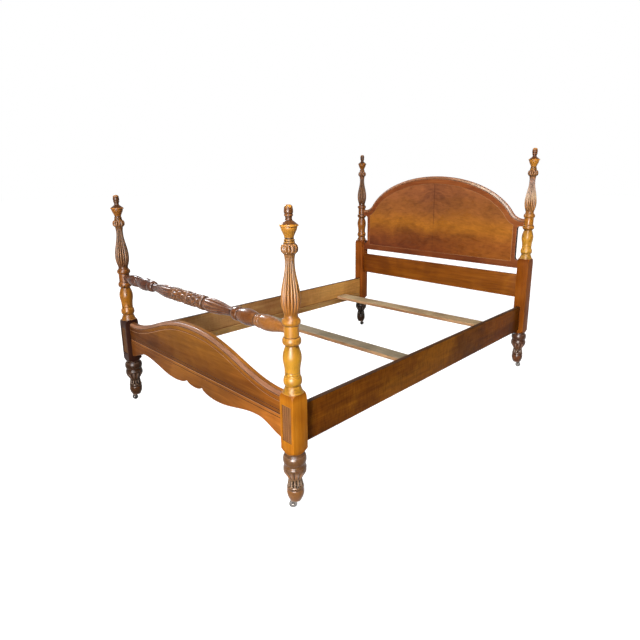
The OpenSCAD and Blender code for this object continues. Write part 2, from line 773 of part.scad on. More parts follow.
// Slot between the panel's right edge and the post
module headboard_slot() {
    r = slot_w / 2;
    corner = r * slot_corner;
    translate([panel_x + r, slot_low + r]) circle(r);
    translate([panel_x + r, ear_low - r]) circle(r);
    translate([panel_x, slot_low + r]) square([slot_w, ear_low - slot_low - slot_w]);
    translate([panel_x + r, slot_low + corner]) square([slot_w, ear_low - slot_low - corner]);
}

module headboard_panel() color("saddlebrown") {
    front = post_y - headboard_fore;
    difference() {
        union() {
            upright(front + edge_w, headboard_t - edge_w) headboard_outline(0);
            upright(front, headboard_t) headboard_outline(edge_drop);
            edge_moulding(head_arch, front);
        }
        upright(front - BURY, veneer_t + BURY) field(-fit_gap);
        for (side = [-1, 1])
            standing(side, 1) turned(LOW_STACK, step_r, block_top(1), fit_gap);
    }
    for (side = [-1, 1]) tenon(side, headboard_mid, headboard_low + tab_shoulder, slot_low - tab_shoulder);
}

// Two book-matched leaves that meet on the middle of the headboard
module headboard_veneer() color("sienna") {
    upright(post_y - headboard_fore, veneer_t) difference() {
        field(string_w + fit_gap);
        translate([-fit_gap / 2, 0]) square([fit_gap, 2 * arch_spring]);
    }
}

module headboard_stringing() color("burlywood") {
    upright(post_y - headboard_fore, veneer_t) difference() {
        field(0);
        field(string_w);
    }
}

module head_rail() color("chocolate") {
    low = head_rail_low;
    end_x = inner_x - fit_gap;
    translate([-end_x, post_y - head_rail_t / 2, low]) cube([2 * end_x, head_rail_t, head_rail_h]);
    for (side = [-1, 1])
        tenon(side, post_y, low + tenon_shoulder, low + head_rail_h - tenon_shoulder);
}

// Blanket rail, turned about its own axis: z runs from the middle of the bed to the post
module rail_outer() {
    len_z = height_of(RAIL_OUTER_STACK);
    end_z = post_x - hub_r;
    translate([0, 0, end_z]) mirror([0, 0, 1]) turned(RAIL_OUTER_STACK, rail_end_r, 0);
    translate([0, 0, end_z - BURY]) cylinder(r = rail_end_r, h = hub_r / 2);
}

module rail_reeds_one_side() {
    start = post_x - hub_r - height_of(RAIL_OUTER_STACK);
    translate([0, 0, start]) mirror([0, 0, 1])
        reeded(RAIL_REED_STACK, end_r(RAIL_OUTER_STACK, len(RAIL_OUTER_STACK) - 1), 0, rail_reeds);
}

// Carved drum between two stop beads, with a bead on its middle
module rail_middle() {
    half_l = post_x - hub_r - height_of(RAIL_OUTER_STACK) - height_of(RAIL_REED_STACK);
    belly_r = end_r(RAIL_REED_STACK, 1);
    bead = moulding([rail_stop, "bead", "bead"], belly_r, -half_l);
    drum_half = half_l - rail_stop[0];
    knot = [
        for (i = [0:1:2 * MOULD_STEPS]) let (a = 180 * i / (2 * MOULD_STEPS))
            [rail_stop[2] + (rail_knot_r - rail_stop[2]) * sin(a), -rail_knot_w / 2 * cos(a)]
    ];
    left_part = concat([[0, -half_l], [belly_r, -half_l]], bead);
    right_part = [for (p = backwards(left_part)) [p[0], -p[1]]];
    rotate_extrude() polygon(concat(left_part, knot, right_part));
}

module blanket_rail() color("sienna") {
    translate([0, -post_y, hub_mid(-1)]) {
        difference() {
            rotate([0, 90, 0]) {
                rail_middle();
                for (side = [0, 1]) mirror([0, 0, side]) {
                    rail_outer();
                    rail_reeds_one_side();
                }
            }
            for (side = [-1, 1])
                translate([side * post_x, 0, -hub_r])
                    cylinder(r = hub_r + fit_gap, h = 2 * hub_r);
        }
        for (side = [-1, 1])
            translate([side * (post_x - hub_r - BURY * 2), 0, 0])
                rotate([0, side * 90, 0]) cylinder(d = tenon_d, h = tenon_l + BURY * 2);
    }
}

// Side rail with recesses for the hook plates; its upper corners are eased
module side_rail(side) color("chocolate") {
    half_l = rail_end_y;
    e = rail_ease;
    difference() {
        translate([side * rail_mid_x, half_l, side_rail_low]) rotate([90, 0, 0])
            linear_extrude(2 * half_l)
                polygon([
                    [-side_rail_t / 2, 0], [side_rail_t / 2, 0],
                    [side_rail_t / 2, side_rail_h - e], [side_rail_t / 2 - e, side_rail_h],
                    [-side_rail_t / 2 + e, side_rail_h], [-side_rail_t / 2, side_rail_h - e]
                ]);
        for (end = [-1, 1])
            translate([side * rail_mid_x - plate_w / 2 - fit_gap / 2,
                end < 0 ? -half_l - BURY : half_l - plate_t - fit_gap / 2,
                rail_mid_z - plate_h / 2 - fit_gap / 2])
                cube([plate_w + fit_gap, plate_t + BURY + fit_gap / 2, plate_h + fit_gap]);
        for (i = [0:1:ledger_screws_n - 1])
            translate([side * (rail_inner_x + BURY), screw_y(i), screw_z]) rotate([0, side * 90, 0])
                translate([0, 0, -2 * BURY])
                    cylinder(d = screw_d + fit_gap, h = screw_l - ledger_t + 2 * BURY);
    }
}

function screw_y(i) = ledger_half_l * (2 * (i + 0.5) / ledger_screws_n - 1);
screw_z = side_rail_low + ledger_h / 2;
ledger_half_l = rail_end_y - ledger_short;
ledger_in_x = rail_inner_x - face_gap - ledger_t;

module ledger(side) color("tan") {
    difference() {
        translate([side > 0 ? ledger_in_x : -ledger_in_x - ledger_t, -ledger_half_l, side_rail_low])
            cube([ledger_t, 2 * ledger_half_l, ledger_h]);
        for (i = [0:1:ledger_screws_n - 1])
            translate([side * ledger_in_x, screw_y(i), screw_z]) rotate([0, side * 90, 0])
                screw(fit_gap);
    }
}

// Countersunk screw with its head's face at the origin, wider all round by grow / 2
module screw(grow) {
    head_h = (screw_head_d - screw_d) / 2;
    rotate_extrude()
        polygon([
            [0, grow > 0 ? -BURY : 0], [(screw_head_d + grow) / 2, grow > 0 ? -BURY : 0],
            [(screw_head_d + grow) / 2, 0], [(screw_d + grow) / 2, head_h],
            [(screw_d + grow) / 2, screw_l + grow], [0, screw_l + grow]
        ]);
}

module ledger_screws() color("darkgray") {
    for (side = [-1, 1]) for (i = [0:1:ledger_screws_n - 1])
        translate([side * ledger_in_x, screw_y(i), screw_z]) rotate([0, side * 90, 0]) screw(0);
}

// Steel plate flush with a rail's end and two hooks that drop over the pins in the post
module hook_plate() {
    pin_r = pin_d / 2 + fit_gap / 2;
    nose = hook_reach - hook_pin_in - pin_r;
    root = -hook_h / 4;
    translate([-plate_w / 2, -plate_t, -plate_h / 2]) cube([plate_w, plate_t, plate_h]);
    for (up = [-1, 1])
        translate([-hook_t / 2, 0, up * hook_pitch / 2]) rotate([90, 0, 90]) linear_extrude(hook_t)
            polygon([
                [-BURY, hook_h / 2], [hook_reach - nose, hook_h / 2], [hook_reach, hook_h / 2 - nose],
                [hook_reach, -hook_h / 2], [hook_pin_in + pin_r, -hook_h / 2],
                [hook_pin_in + pin_r, 0], [hook_pin_in - pin_r, 0],
                [hook_pin_in - pin_r, root], [-BURY, root]
            ]);
}

module hook_plates() color("dimgray") {
    for (side = [-1, 1]) for (end = [-1, 1])
        translate([side * rail_mid_x, end * rail_end_y, rail_mid_z])
            rotate([0, 0, end < 0 ? 180 : 0]) hook_plate();
}

module hook_pins() color("gray") {
    for (side = [-1, 1]) for (end = [-1, 1]) for (up = [-1, 1])
        translate([side * rail_mid_x, end * (rail_end_y + hook_pin_in), pin_z(up)])
            rotate([0, 90, 0]) cylinder(d = pin_d, h = pin_l, center = true);
}

// Loose board across the bed; its length leaves the side play at any turn
module slat(w, y, turn) color("burlywood") {
    length = (2 * rail_inner_x - slat_play - w * sin(turn)) / cos(turn);
    e = slat_ease;
    translate([0, y, ledger_top]) rotate([0, 0, turn]) rotate([90, 0, 90])
        translate([0, 0, -length / 2]) linear_extrude(length)
            polygon([
                [-w / 2 + e, 0], [w / 2 - e, 0], [w / 2, e], [w / 2, slat_t - e],
                [w / 2 - e, slat_t], [-w / 2 + e, slat_t], [-w / 2, slat_t - e], [-w / 2, e]
            ]);
}

module slat_head() slat(slat_head_w, rail_end_y - slat_head_in, slat_head_turn);
module slat_foot() slat(slat_foot_w, slat_foot_y, slat_foot_turn);

// Swivel of the caster under each post
function caster_turn(side, end) =
    end > 0 ? (side < 0 ? turn_head_left : turn_head_right) : (side < 0 ? turn_foot_left : turn_foot_right);
socket_h = stem_l + stem_room;

module caster_socket(side, end) color("dimgray") standing(side, end) {
    difference() {
        translate([0, 0, flange_low]) union() {
            cylinder(d = flange_d, h = flange_t);
            cylinder(d = socket_d, h = socket_h);
        }
        translate([0, 0, flange_low - BURY]) cylinder(d = stem_d + stem_play, h = socket_h + 2 * BURY);
    }
}

// Horn fork: crown, stem, and two cheeks that sweep back to the axle
module caster_fork(side, end) color("silver") standing(side, end)
    rotate([0, 0, caster_turn(side, end)]) {
        crown_half = wheel_w / 2 + cheek_gap + fork_t;
        boss_r = axle_d / 2 + boss_wall;
        translate([0, 0, crown_low]) cylinder(r = crown_r, h = crown_t);
        translate([0, -crown_half, crown_low]) cube([crown_reach, 2 * crown_half, crown_t]);
        translate([0, 0, crown_low]) cylinder(d = stem_d, h = stem_l);
        for (s = [-1, 1])
            translate([0, s * (crown_half - fork_t / 2) + fork_t / 2, 0]) rotate([90, 0, 0])
                difference() {
                    union() {
                        translate([trail, wheel_r, 0]) cylinder(r = boss_r, h = fork_t);
                        linear_extrude(fork_t)
                            polygon([
                                [0, crown_low + crown_t], [crown_reach, crown_low + crown_t],
                                [trail + boss_r, wheel_r], [trail - boss_r, wheel_r], [0, crown_low]
                            ]);
                    }
                    translate([trail, wheel_r, -BURY])
                        cylinder(d = axle_d + fit_gap / 2, h = fork_t + 2 * BURY);
                }
    }

module caster_axle(side, end) color("gray") standing(side, end)
    rotate([0, 0, caster_turn(side, end)]) translate([trail, 0, wheel_r]) rotate([90, 0, 0]) {
        half_l = wheel_w / 2 + cheek_gap + fork_t + fit_gap / 2;
        cylinder(d = axle_d, h = 2 * half_l, center = true);
        for (s = [0, 1]) mirror([0, 0, s]) translate([0, 0, half_l]) rotate_extrude()
            polygon(concat([[0, -BURY], [axle_d / 2, -BURY], [axle_d / 2, 0]],
                [for (i = [0:1:MOULD_STEPS]) let (a = 90 * i / MOULD_STEPS)
                    [rivet_r * cos(a), rivet_h * sin(a)]]));
    }

// Wheel with a rounded tread, dished sides and a hub
module caster_wheel(side, end) color("whitesmoke") standing(side, end)
    rotate([0, 0, caster_turn(side, end)]) translate([trail, 0, wheel_r]) rotate([90, 0, 0]) {
        half_w = wheel_w / 2;
        bore_r = axle_d / 2 + wheel_play;
        hub_rim = bore_r + wheel_hub_wall;
        dish = wheel_dish;
        tread = [
            for (i = [-MOULD_STEPS:1:MOULD_STEPS]) let (a = 90 * i / MOULD_STEPS)
                [wheel_r - tread_r + tread_r * cos(a), (half_w - tread_r) * sign(i) + tread_r * sin(a)]
        ];
        rotate_extrude()
            polygon(concat(
                [[bore_r, -half_w], [hub_rim, -half_w], [hub_rim + dish, -half_w + dish]],
                [[wheel_r - tread_r - dish, -half_w + dish]],
                tread,
                [[wheel_r - tread_r - dish, half_w - dish]],
                [[hub_rim + dish, half_w - dish], [hub_rim, half_w], [bore_r, half_w]]
            ));
    }

// Cup-shaped finial with the dowel that holds it
module finial(side, end) color("sienna") standing(side, end) {
    low = post_top(end);
    turned(FINIAL_STACK, finial_neck_r, low);
    translate([0, 0, low - dowel_l]) cylinder(d = dowel_d, h = dowel_l + BURY);
}

post(-1, 1);  // head_post_left
post(1, 1);  // head_post_right
post(-1, -1);  // foot_post_left
post(1, -1);  // foot_post_right
finial(-1, 1);  // head_finial_left
finial(1, 1);  // head_finial_right
finial(-1, -1);  // foot_finial_left
finial(1, -1);  // foot_finial_right
headboard_panel();
headboard_veneer();
headboard_stringing();
head_rail();
footboard_panel();
blanket_rail();
side_rail(-1);  // side_rail_left
side_rail(1);  // side_rail_right
ledger(-1);  // ledger_left
ledger(1);  // ledger_right
ledger_screws();
hook_plates();
hook_pins();
slat_head();
slat_foot();
caster_socket(-1, 1);  // caster_socket_head_left
caster_socket(1, 1);  // caster_socket_head_right
caster_socket(-1, -1);  // caster_socket_foot_left
caster_socket(1, -1);  // caster_socket_foot_right
caster_fork(-1, 1);  // caster_fork_head_left
caster_fork(1, 1);  // caster_fork_head_right
caster_fork(-1, -1);  // caster_fork_foot_left
caster_fork(1, -1);  // caster_fork_foot_right
caster_axle(-1, 1);  // caster_axle_head_left
caster_axle(1, 1);  // caster_axle_head_right
caster_axle(-1, -1);  // caster_axle_foot_left
caster_axle(1, -1);  // caster_axle_foot_right
caster_wheel(-1, 1);  // caster_wheel_head_left
caster_wheel(1, 1);  // caster_wheel_head_right
caster_wheel(-1, -1);  // caster_wheel_foot_left
caster_wheel(1, -1);  // caster_wheel_foot_right
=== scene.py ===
# %% [markdown]
# # A low four-poster bedstead
# Four turned and reeded posts on casters carry an arched headboard, a scrolled footboard and a turned
# blanket rail. The sizes, the joints and the places of all pieces are already settled in the frame that is
# loaded here. This lesson models the pieces that show most, dresses every piece in its own finish, and
# lights the whole.

# %% Load the frame
import math

import bmesh
import bpy
from mathutils import Matrix, Vector


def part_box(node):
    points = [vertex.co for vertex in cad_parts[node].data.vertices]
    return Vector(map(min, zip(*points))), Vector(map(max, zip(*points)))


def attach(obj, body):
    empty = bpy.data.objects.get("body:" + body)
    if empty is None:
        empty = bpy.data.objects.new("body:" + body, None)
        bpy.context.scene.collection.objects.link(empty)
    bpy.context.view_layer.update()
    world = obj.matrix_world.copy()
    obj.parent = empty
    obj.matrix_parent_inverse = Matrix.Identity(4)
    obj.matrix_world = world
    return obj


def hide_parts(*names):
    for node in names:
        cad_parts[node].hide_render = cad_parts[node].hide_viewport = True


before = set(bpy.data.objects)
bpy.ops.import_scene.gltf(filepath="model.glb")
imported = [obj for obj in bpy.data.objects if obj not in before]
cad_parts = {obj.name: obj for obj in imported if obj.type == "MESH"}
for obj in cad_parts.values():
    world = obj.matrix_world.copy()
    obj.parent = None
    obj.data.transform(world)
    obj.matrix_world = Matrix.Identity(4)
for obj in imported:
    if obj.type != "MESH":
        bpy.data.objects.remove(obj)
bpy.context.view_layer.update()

MM = 0.001

# %% [markdown]
# ## Camera
# The bedstead was photographed from beside its right foot post, a little above the posts' tops and looking
# down. A camera is most easily placed by where it stands and how far it is turned, so its axes are worked
# out from its heading, its tilt and its roll. A small shift puts the picture's middle where the photograph
# has it.

# %% Camera
IMAGE_W = 640
SENSOR_W = 36.0
FOCAL_PX = 488.8
PICTURE_MIDDLE_PX = (331.6, 293.2)
CAMERA_AT = (1.9927, -2.1323, 1.2854)
HEADING = -0.7704
TILT_DOWN = 0.2365
ROLL = -0.0056


def camera_matrix(at, heading, tilt_down, roll):
    """Where a camera stands and looks; heading 0 looks along +Y and turns towards +X."""
    level = math.cos(tilt_down)
    ahead = Vector((math.sin(heading) * level, math.cos(heading) * level, -math.sin(tilt_down)))
    right = Vector((math.cos(heading), -math.sin(heading), 0))
    up = right.cross(ahead)
    rolled_right = right * math.cos(roll) + up * math.sin(roll)
    rolled_up = up * math.cos(roll) - right * math.sin(roll)
    turn = Matrix((rolled_right, rolled_up, -ahead)).transposed()
    return Matrix.Translation(at) @ turn.to_4x4()


bpy.ops.object.camera_add()
camera = bpy.context.object
camera.name = "camera"
camera.matrix_world = camera_matrix(CAMERA_AT, HEADING, TILT_DOWN, ROLL)
camera.data.sensor_width = SENSOR_W
camera.data.lens = FOCAL_PX / IMAGE_W * SENSOR_W
camera.data.shift_x = (IMAGE_W / 2 - PICTURE_MIDDLE_PX[0]) / IMAGE_W
camera.data.shift_y = (PICTURE_MIDDLE_PX[1] - IMAGE_W / 2) / IMAGE_W
bpy.context.scene.camera = camera
bpy.context.scene.view_settings.view_transform = "Standard"
print("lens:", round(camera.data.lens, 2), "mm")

# %% [markdown]
# ## Hands for the modelling
# A person at the screen selects by looking; a script selects by asking each vertex, edge or face where it
# is or which way it faces. These few helpers do the looking. A single vertex that is extruded again and
# again is a pen that draws an outline, and the spin operator is the lathe.

# %% Selecting and drawing
MERGE_GAP = 0.01 * MM


def deselect_all():
    bpy.ops.object.select_all(action="DESELECT")


def select_only(piece):
    deselect_all()
    bpy.context.view_layer.objects.active = piece
    piece.select_set(True)


def named(name):
    """Gives the object that was just made, and its mesh, a name."""
    piece = bpy.context.object
    piece.name = name
    piece.data.name = name
    return piece


def edit(piece, mode="VERT"):
    """Opens one piece in edit mode with nothing selected."""
    if bpy.context.object and bpy.context.object.mode != "OBJECT":
        bpy.ops.object.mode_set(mode="OBJECT")
    select_only(piece)
    bpy.ops.object.mode_set(mode="EDIT")
    bpy.ops.mesh.select_mode(type=mode)
    bpy.ops.mesh.select_all(action="DESELECT")


def leave_edit():
    bpy.ops.object.mode_set(mode="OBJECT")


def pick(piece, test, kind="verts"):
    """Selects the verts, edges or faces of the piece in edit mode that pass the test."""
    mesh = bmesh.from_edit_mesh(piece.data)
    chosen = 0
    for group in (mesh.verts, mesh.edges, mesh.faces):
        for element in group:
            element.select = False
    for element in getattr(mesh, kind):
        if test(element):
            element.select_set(True)
            chosen += 1
    mesh.select_flush_mode()
    bmesh.update_edit_mesh(piece.data, loop_triangles=False, destructive=False)
    return chosen


def pen(name, points):
    """Draws a line through the points: one vertex, extruded from point to point. It stays in edit mode."""
    deselect_all()
    bpy.ops.mesh.primitive_plane_add(size=0.01)
    piece = named(name)
    bpy.ops.object.mode_set(mode="EDIT")
    bpy.ops.mesh.select_mode(type="VERT")
    bpy.ops.mesh.select_all(action="SELECT")
    bpy.ops.mesh.merge(type="CENTER")
    here = Vector(points[0])
    bpy.ops.transform.translate(value=here)
    for point in points[1:]:
        there = Vector(point)
        bpy.ops.mesh.extrude_region_move(TRANSFORM_OT_translate={"value": there - here})
        here = there
    return piece


def lathe(name, section, steps):
    """Spins a section, points of (radius, height) in mm, round the Z axis and closes its ends on the axis."""
    closed = [(0, section[0][1]), *section, (0, section[-1][1])]
    piece = pen(name, [(r * MM, 0, z * MM) for r, z in closed])
    bpy.ops.mesh.select_all(action="SELECT")
    bpy.ops.mesh.spin(steps=steps, angle=2 * math.pi, center=(0, 0, 0), axis=(0, 0, 1))
    bpy.ops.mesh.select_all(action="SELECT")
    bpy.ops.mesh.remove_doubles(threshold=MERGE_GAP)
    bpy.ops.mesh.normals_make_consistent(inside=False)
    leave_edit()
    return piece


def slab(name, outline, front, thickness):
    """A flat board: an outline of (x, z) points in mm, filled and extruded from y = front towards +Y."""
    piece = pen(name, [(x * MM, front, z * MM) for x, z in outline])
    bpy.ops.mesh.select_all(action="SELECT")
    bpy.ops.mesh.edge_face_add()
    bpy.ops.mesh.extrude_region_move(TRANSFORM_OT_translate={"value": (0, thickness * MM, 0)})
    bpy.ops.mesh.select_all(action="SELECT")
    bpy.ops.mesh.normals_make_consistent(inside=False)
    leave_edit()
    return piece


# %% Cutting, copying and joining
def apply_modifier(piece, kind, **settings):
    select_only(piece)
    modifier = piece.modifiers.new(kind.lower(), kind)
    for name, value in settings.items():
        setattr(modifier, name, value)
    bpy.ops.object.modifier_apply(modifier=modifier.name)


def carve(piece, tool, operation="DIFFERENCE"):
    """Cuts the piece with another solid, which is then thrown away."""
    apply_modifier(piece, "BOOLEAN", object=tool, operation=operation, solver="EXACT")
    bpy.data.objects.remove(tool)


def ease_edges(piece, width, segments=2, angle=30):
    """Rounds all edges that are sharper than the angle, in degrees; the width is in mm."""
    apply_modifier(piece, "BEVEL", width=width * MM, segments=segments, limit_method="ANGLE",
                   angle_limit=math.radians(angle), harden_normals=False)


def smooth(piece, angle):
    """Shades the piece smooth, but keeps edges sharper than the angle, in degrees."""
    select_only(piece)
    bpy.ops.object.shade_smooth_by_angle(angle=math.radians(angle))


def copy_of(piece, name, move):
    """A copy with a mesh of its own, moved to its place."""
    select_only(piece)
    bpy.ops.object.duplicate(linked=False)
    made = named(name)
    bpy.ops.transform.translate(value=move)
    bpy.ops.object.transform_apply(location=True, rotation=True, scale=True)
    return made


def join(name, *pieces):
    deselect_all()
    for piece in pieces:
        piece.select_set(True)
    bpy.context.view_layer.objects.active = pieces[0]
    bpy.ops.object.join()
    return named(name)


def box_piece(name, low, high):
    """A cube primitive stretched between two corners, given in metres."""
    deselect_all()
    middle = (Vector(low) + Vector(high)) / 2
    bpy.ops.mesh.primitive_cube_add(size=1, location=middle)
    piece = named(name)
    bpy.ops.transform.resize(value=Vector(high) - Vector(low))
    bpy.ops.object.transform_apply(location=True, rotation=True, scale=True)
    return piece


def score(at, normal):
    """Draws edges all round the piece in edit mode, where a plane meets it."""
    bpy.ops.mesh.select_all(action="SELECT")
    bpy.ops.mesh.bisect(plane_co=at, plane_no=normal)


def turn_and_move(piece, angle, axis, move):
    """Turns the mesh round an axis through the origin, then moves it; the object itself stays where it is."""
    edit(piece)
    bpy.ops.mesh.select_all(action="SELECT")
    bpy.ops.transform.rotate(value=angle, orient_axis=axis, center_override=(0, 0, 0))
    bpy.ops.transform.translate(value=move)
    leave_edit()


# %% [markdown]
# ## Turned sections
# A turner works from a list of mouldings, each with a height, a widest or narrowest radius and the radius
# where the next one starts. Four curves are enough: a bead is a quarter of an ellipse, a belly swells like
# a sine, a vase eases in and out, and a cone is straight. The lists below are that turner's rod, in
# millimetres.

# %% The turner's rod
MOULDING_STEPS = 9
LATHE_STEPS = 144
LEAST_PRESS = 0.01
CURVES = {
    "bead": lambda s: math.sqrt(max(0, 1 - (1 - s) ** 2)),
    "belly": lambda s: math.sin(math.pi / 2 * s),
    "vase": lambda s: (1 - math.cos(math.pi * s)) / 2,
    "cone": lambda s: s,
}

# Height, extreme radius, end radius, place of the extreme, curve below it, curve above it
FOOT = [
    (52, 34.2, 31.6, 0.70, "belly", "bead"), (13, 33.6, 31.0, 0.50, "bead", "bead"),
    (26, 30.5, 27.8, 0.30, "cone", "vase"), (60, 46.3, 43.6, 0.74, "vase", "bead"),
    (15, 42.0, 42.5, 0.50, "vase", "vase"), (34, 46.3, 38.5, 0.45, "bead", "bead"),
    (10, 35.0, 35.5, 0.50, "vase", "vase"),
]
LOWER_POST = [
    (20, 35.5, 31.5, 0.35, "vase", "vase"), (11, 28.5, 28.8, 0.60, "vase", "vase"),
    (33, 35.2, 30.0, 0.45, "bead", "bead"), (7, 29.5, 28.0, 0.70, "cone", "cone"),
    (10, 29.5, 28.0, 0.40, "bead", "bead"), (7, 29.5, 29.5, 0.30, "cone", "cone"),
    (92, 35.6, 25.6, 0.53, "vase", "belly"), (8, 24.5, 27.0, 0.50, "vase", "vase"),
    (29, 35.2, 28.0, 0.45, "bead", "bead"), (46, 28.0, 28.0, 0.50, "cone", "cone"),
    (29, 34.8, 25.2, 0.45, "bead", "belly"), (9, 25.0, 24.8, 0.50, "cone", "cone"),
]
SHAFT = [(56, 36.0, 36.0, 0.98, "belly", "cone"), (134, 36.0, 17.6, 0.02, "cone", "vase")]
UPPER_POST = [
    (18, 17.6, 18.4, 0.50, "vase", "vase"), (17, 20.0, 25.0, 0.60, "vase", "vase"),
    (33, 31.3, 20.0, 0.42, "bead", "bead"),
]
FINIAL = [
    (8, 20.4, 17.2, 0.50, "bead", "bead"), (8, 19.4, 16.2, 0.50, "bead", "bead"),
    (43, 29.5, 29.5, 0.98, "vase", "cone"), (7, 34.4, 32.0, 0.50, "bead", "cone"),
    (15, 31.0, 12.6, 0.05, "cone", "cone"), (13, 11.8, 12.8, 0.50, "vase", "vase"),
    (8, 15.8, 13.2, 0.50, "bead", "bead"), (21, 16.2, 14.6, 0.45, "bead", "belly"),
    (11, 15.0, 2.0, 0.10, "cone", "bead"),
]
TOE_R = 23.0
STEP_R = 40.0
FINIAL_NECK_R = 18.5


def height_of(rod):
    return sum(moulding[0] for moulding in rod)


def step_of(curve, s):
    """Beads are steep at their start, so their steps crowd together there."""
    return 1 - math.cos(math.pi / 2 * s) if curve == "bead" else s


def section_of(rod, start_r, start_z):
    """Points (radius, height) of a whole list of mouldings."""
    points = [(start_r, start_z)]
    r_low, z = start_r, start_z
    for height, r_mid, r_end, place, below, above in rod:
        for i in range(1, MOULDING_STEPS + 1):
            s = step_of(below, i / MOULDING_STEPS)
            points.append((r_low + (r_mid - r_low) * CURVES[below](s), z + height * place * s))
        for i in range(1, MOULDING_STEPS + 1):
            s = step_of(above, 1 - i / MOULDING_STEPS)
            points.append((r_end + (r_mid - r_end) * CURVES[above](s), z + height * (1 - (1 - place) * s)))
        r_low, z = r_end, z + height
    return points


def grooves(piece, count, zone, depth, fades=3, shift=0.0, fade=0.09):
    """
    Presses evenly spaced grooves into a turned piece between two heights in mm. Depth is a share of the
    radius, shift a share of one groove. The ends fade out in stages, each shorter by a share of the zone.
    """
    per_groove = LATHE_STEPS // count
    edit(piece)
    low, high = zone
    for stage in range(fades):
        inset = (high - low) * fade * stage
        for k in range(per_groove // 2 + 1):
            share = 1 - math.sin(math.pi * (k / per_groove))
            if share <= LEAST_PRESS:
                continue

            def in_groove(vert, k=k, inset=inset):
                radius = math.hypot(vert.co.x, vert.co.y)
                if radius < MM or not (low + inset) * MM <= vert.co.z <= (high - inset) * MM:
                    return False
                step = round((math.atan2(vert.co.y, vert.co.x) / (2 * math.pi) + shift / count) * LATHE_STEPS)
                from_groove = step % per_groove
                return min(from_groove, per_groove - from_groove) == k

            if pick(piece, in_groove):
                factor = 1 - depth * share / fades
                bpy.ops.transform.resize(value=(factor, factor, 1), center_override=(0, 0, 0))
    leave_edit()


print("mouldings on a post:", len(FOOT) + len(LOWER_POST) + len(SHAFT) + len(UPPER_POST) + len(FINIAL))

# %% [markdown]
# ## Post turnings
# The foot under the block and the long turning over it come off the lathe, and only then are they carved:
# reeds on the shaft, lobes on the foot's bulb, flutes on its bell and gadroons on the collar. Pressing in
# the vertices of every groove, in stages that get shorter, gives the rounded ends that a gouge leaves.

# %% Turn and carve the posts
ENDS = ("foot", "head")
SIDES = {"left": -1, "right": 1}


def middle_of(node):
    low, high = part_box(node)
    return (low + high) / 2


POST_CENTRES = {(end, side): middle_of(f"{end}_post_{side}") for end in ENDS for side in SIDES}
POST_X = POST_CENTRES["foot", "right"].x / MM
POST_Y = POST_CENTRES["head", "right"].y / MM
WOOD_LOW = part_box("foot_post_left")[0].z / MM
POST_TOP = {end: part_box(f"{end}_post_left")[1].z / MM for end in ENDS}
BLOCK_LOW = WOOD_LOW + height_of(FOOT)
UPPER_HEIGHT = height_of(LOWER_POST) + height_of(SHAFT) + height_of(UPPER_POST)
BLOCK_TOP = {end: POST_TOP[end] - UPPER_HEIGHT for end in ENDS}
REEDS = 16
LOBES = 12
SMOOTH_TURNING = 30

foot_turning = lathe("foot_turning", section_of(FOOT, TOE_R, WOOD_LOW), LATHE_STEPS)
bell_low = WOOD_LOW + height_of(FOOT[:2])
bulb_low = WOOD_LOW + height_of(FOOT[:3])
grooves(foot_turning, LOBES, (bell_low + 1, bulb_low + 6), 0.27)
grooves(foot_turning, LOBES, (bulb_low + 4, bulb_low + 50), 0.17, fades=4, shift=0.5)
smooth(foot_turning, SMOOTH_TURNING)

long_section = section_of(LOWER_POST + SHAFT + UPPER_POST, STEP_R, 0)
post_turning = lathe("post_turning", long_section, LATHE_STEPS)
shaft_low = height_of(LOWER_POST)
shaft_high = shaft_low + height_of(SHAFT)
collar_high = shaft_high + height_of(UPPER_POST)
grooves(post_turning, REEDS, (shaft_low + 1, collar_high - 36), 0.16, fades=4, fade=0.05)
grooves(post_turning, LOBES, (collar_high - 31, collar_high - 3), 0.15)
smooth(post_turning, SMOOTH_TURNING)
print("post turning:", len(post_turning.data.vertices), "vertices")

# %% [markdown]
# ## Post blocks
# Between the turnings the post stays square, and the lathe has rounded off the corners of the square above
# and below. On the computer the same thing is the intersection of a square bar and a turned body. The foot
# posts have a sunk panel in front, drawn by four bisections and pushed in by one extrusion. Three shallow
# flutes are made in its floor in the same way.

# %% Square blocks
BLOCK_W = 73.0
CORNER_R = BLOCK_W / math.sqrt(2)
CUT_LOW = 15.0
CUT_HIGH = 26.0
SUNK_W = 52.0
SUNK_H = 150.0
SUNK_UP = 51.0
SUNK_DEPTH = 3.0
PANEL_Z = (BLOCK_LOW + SUNK_UP + SUNK_H / 2) * MM
SUNK_RIM = 5.0
FLUTE_EDGES = (-15.0, -9.0, -3.0, 3.0, 9.0, 15.0)
FLOOR_SHARE = 0.4  # of the panel's height, up and down from its middle
FLUTE_DEPTH = 1.6
CORNER_STEPS = 72


def corner_section(low, top):
    """Section of the turned body that trims the block's corners."""
    clear = 8.0
    shoulder = []
    for i in range(MOULDING_STEPS + 1):
        s = step_of("bead", 1 - i / MOULDING_STEPS)
        shoulder.append((STEP_R + (CORNER_R - STEP_R) * CURVES["bead"](s), top - CUT_HIGH * s))
    return [
        (FOOT[-1][2], low), (CORNER_R, low + CUT_LOW), (CORNER_R + clear, low + CUT_LOW + clear),
        (CORNER_R + clear, top - CUT_HIGH - clear), *shoulder,
    ]


def faces_front(face):
    return face.normal.y < -0.9


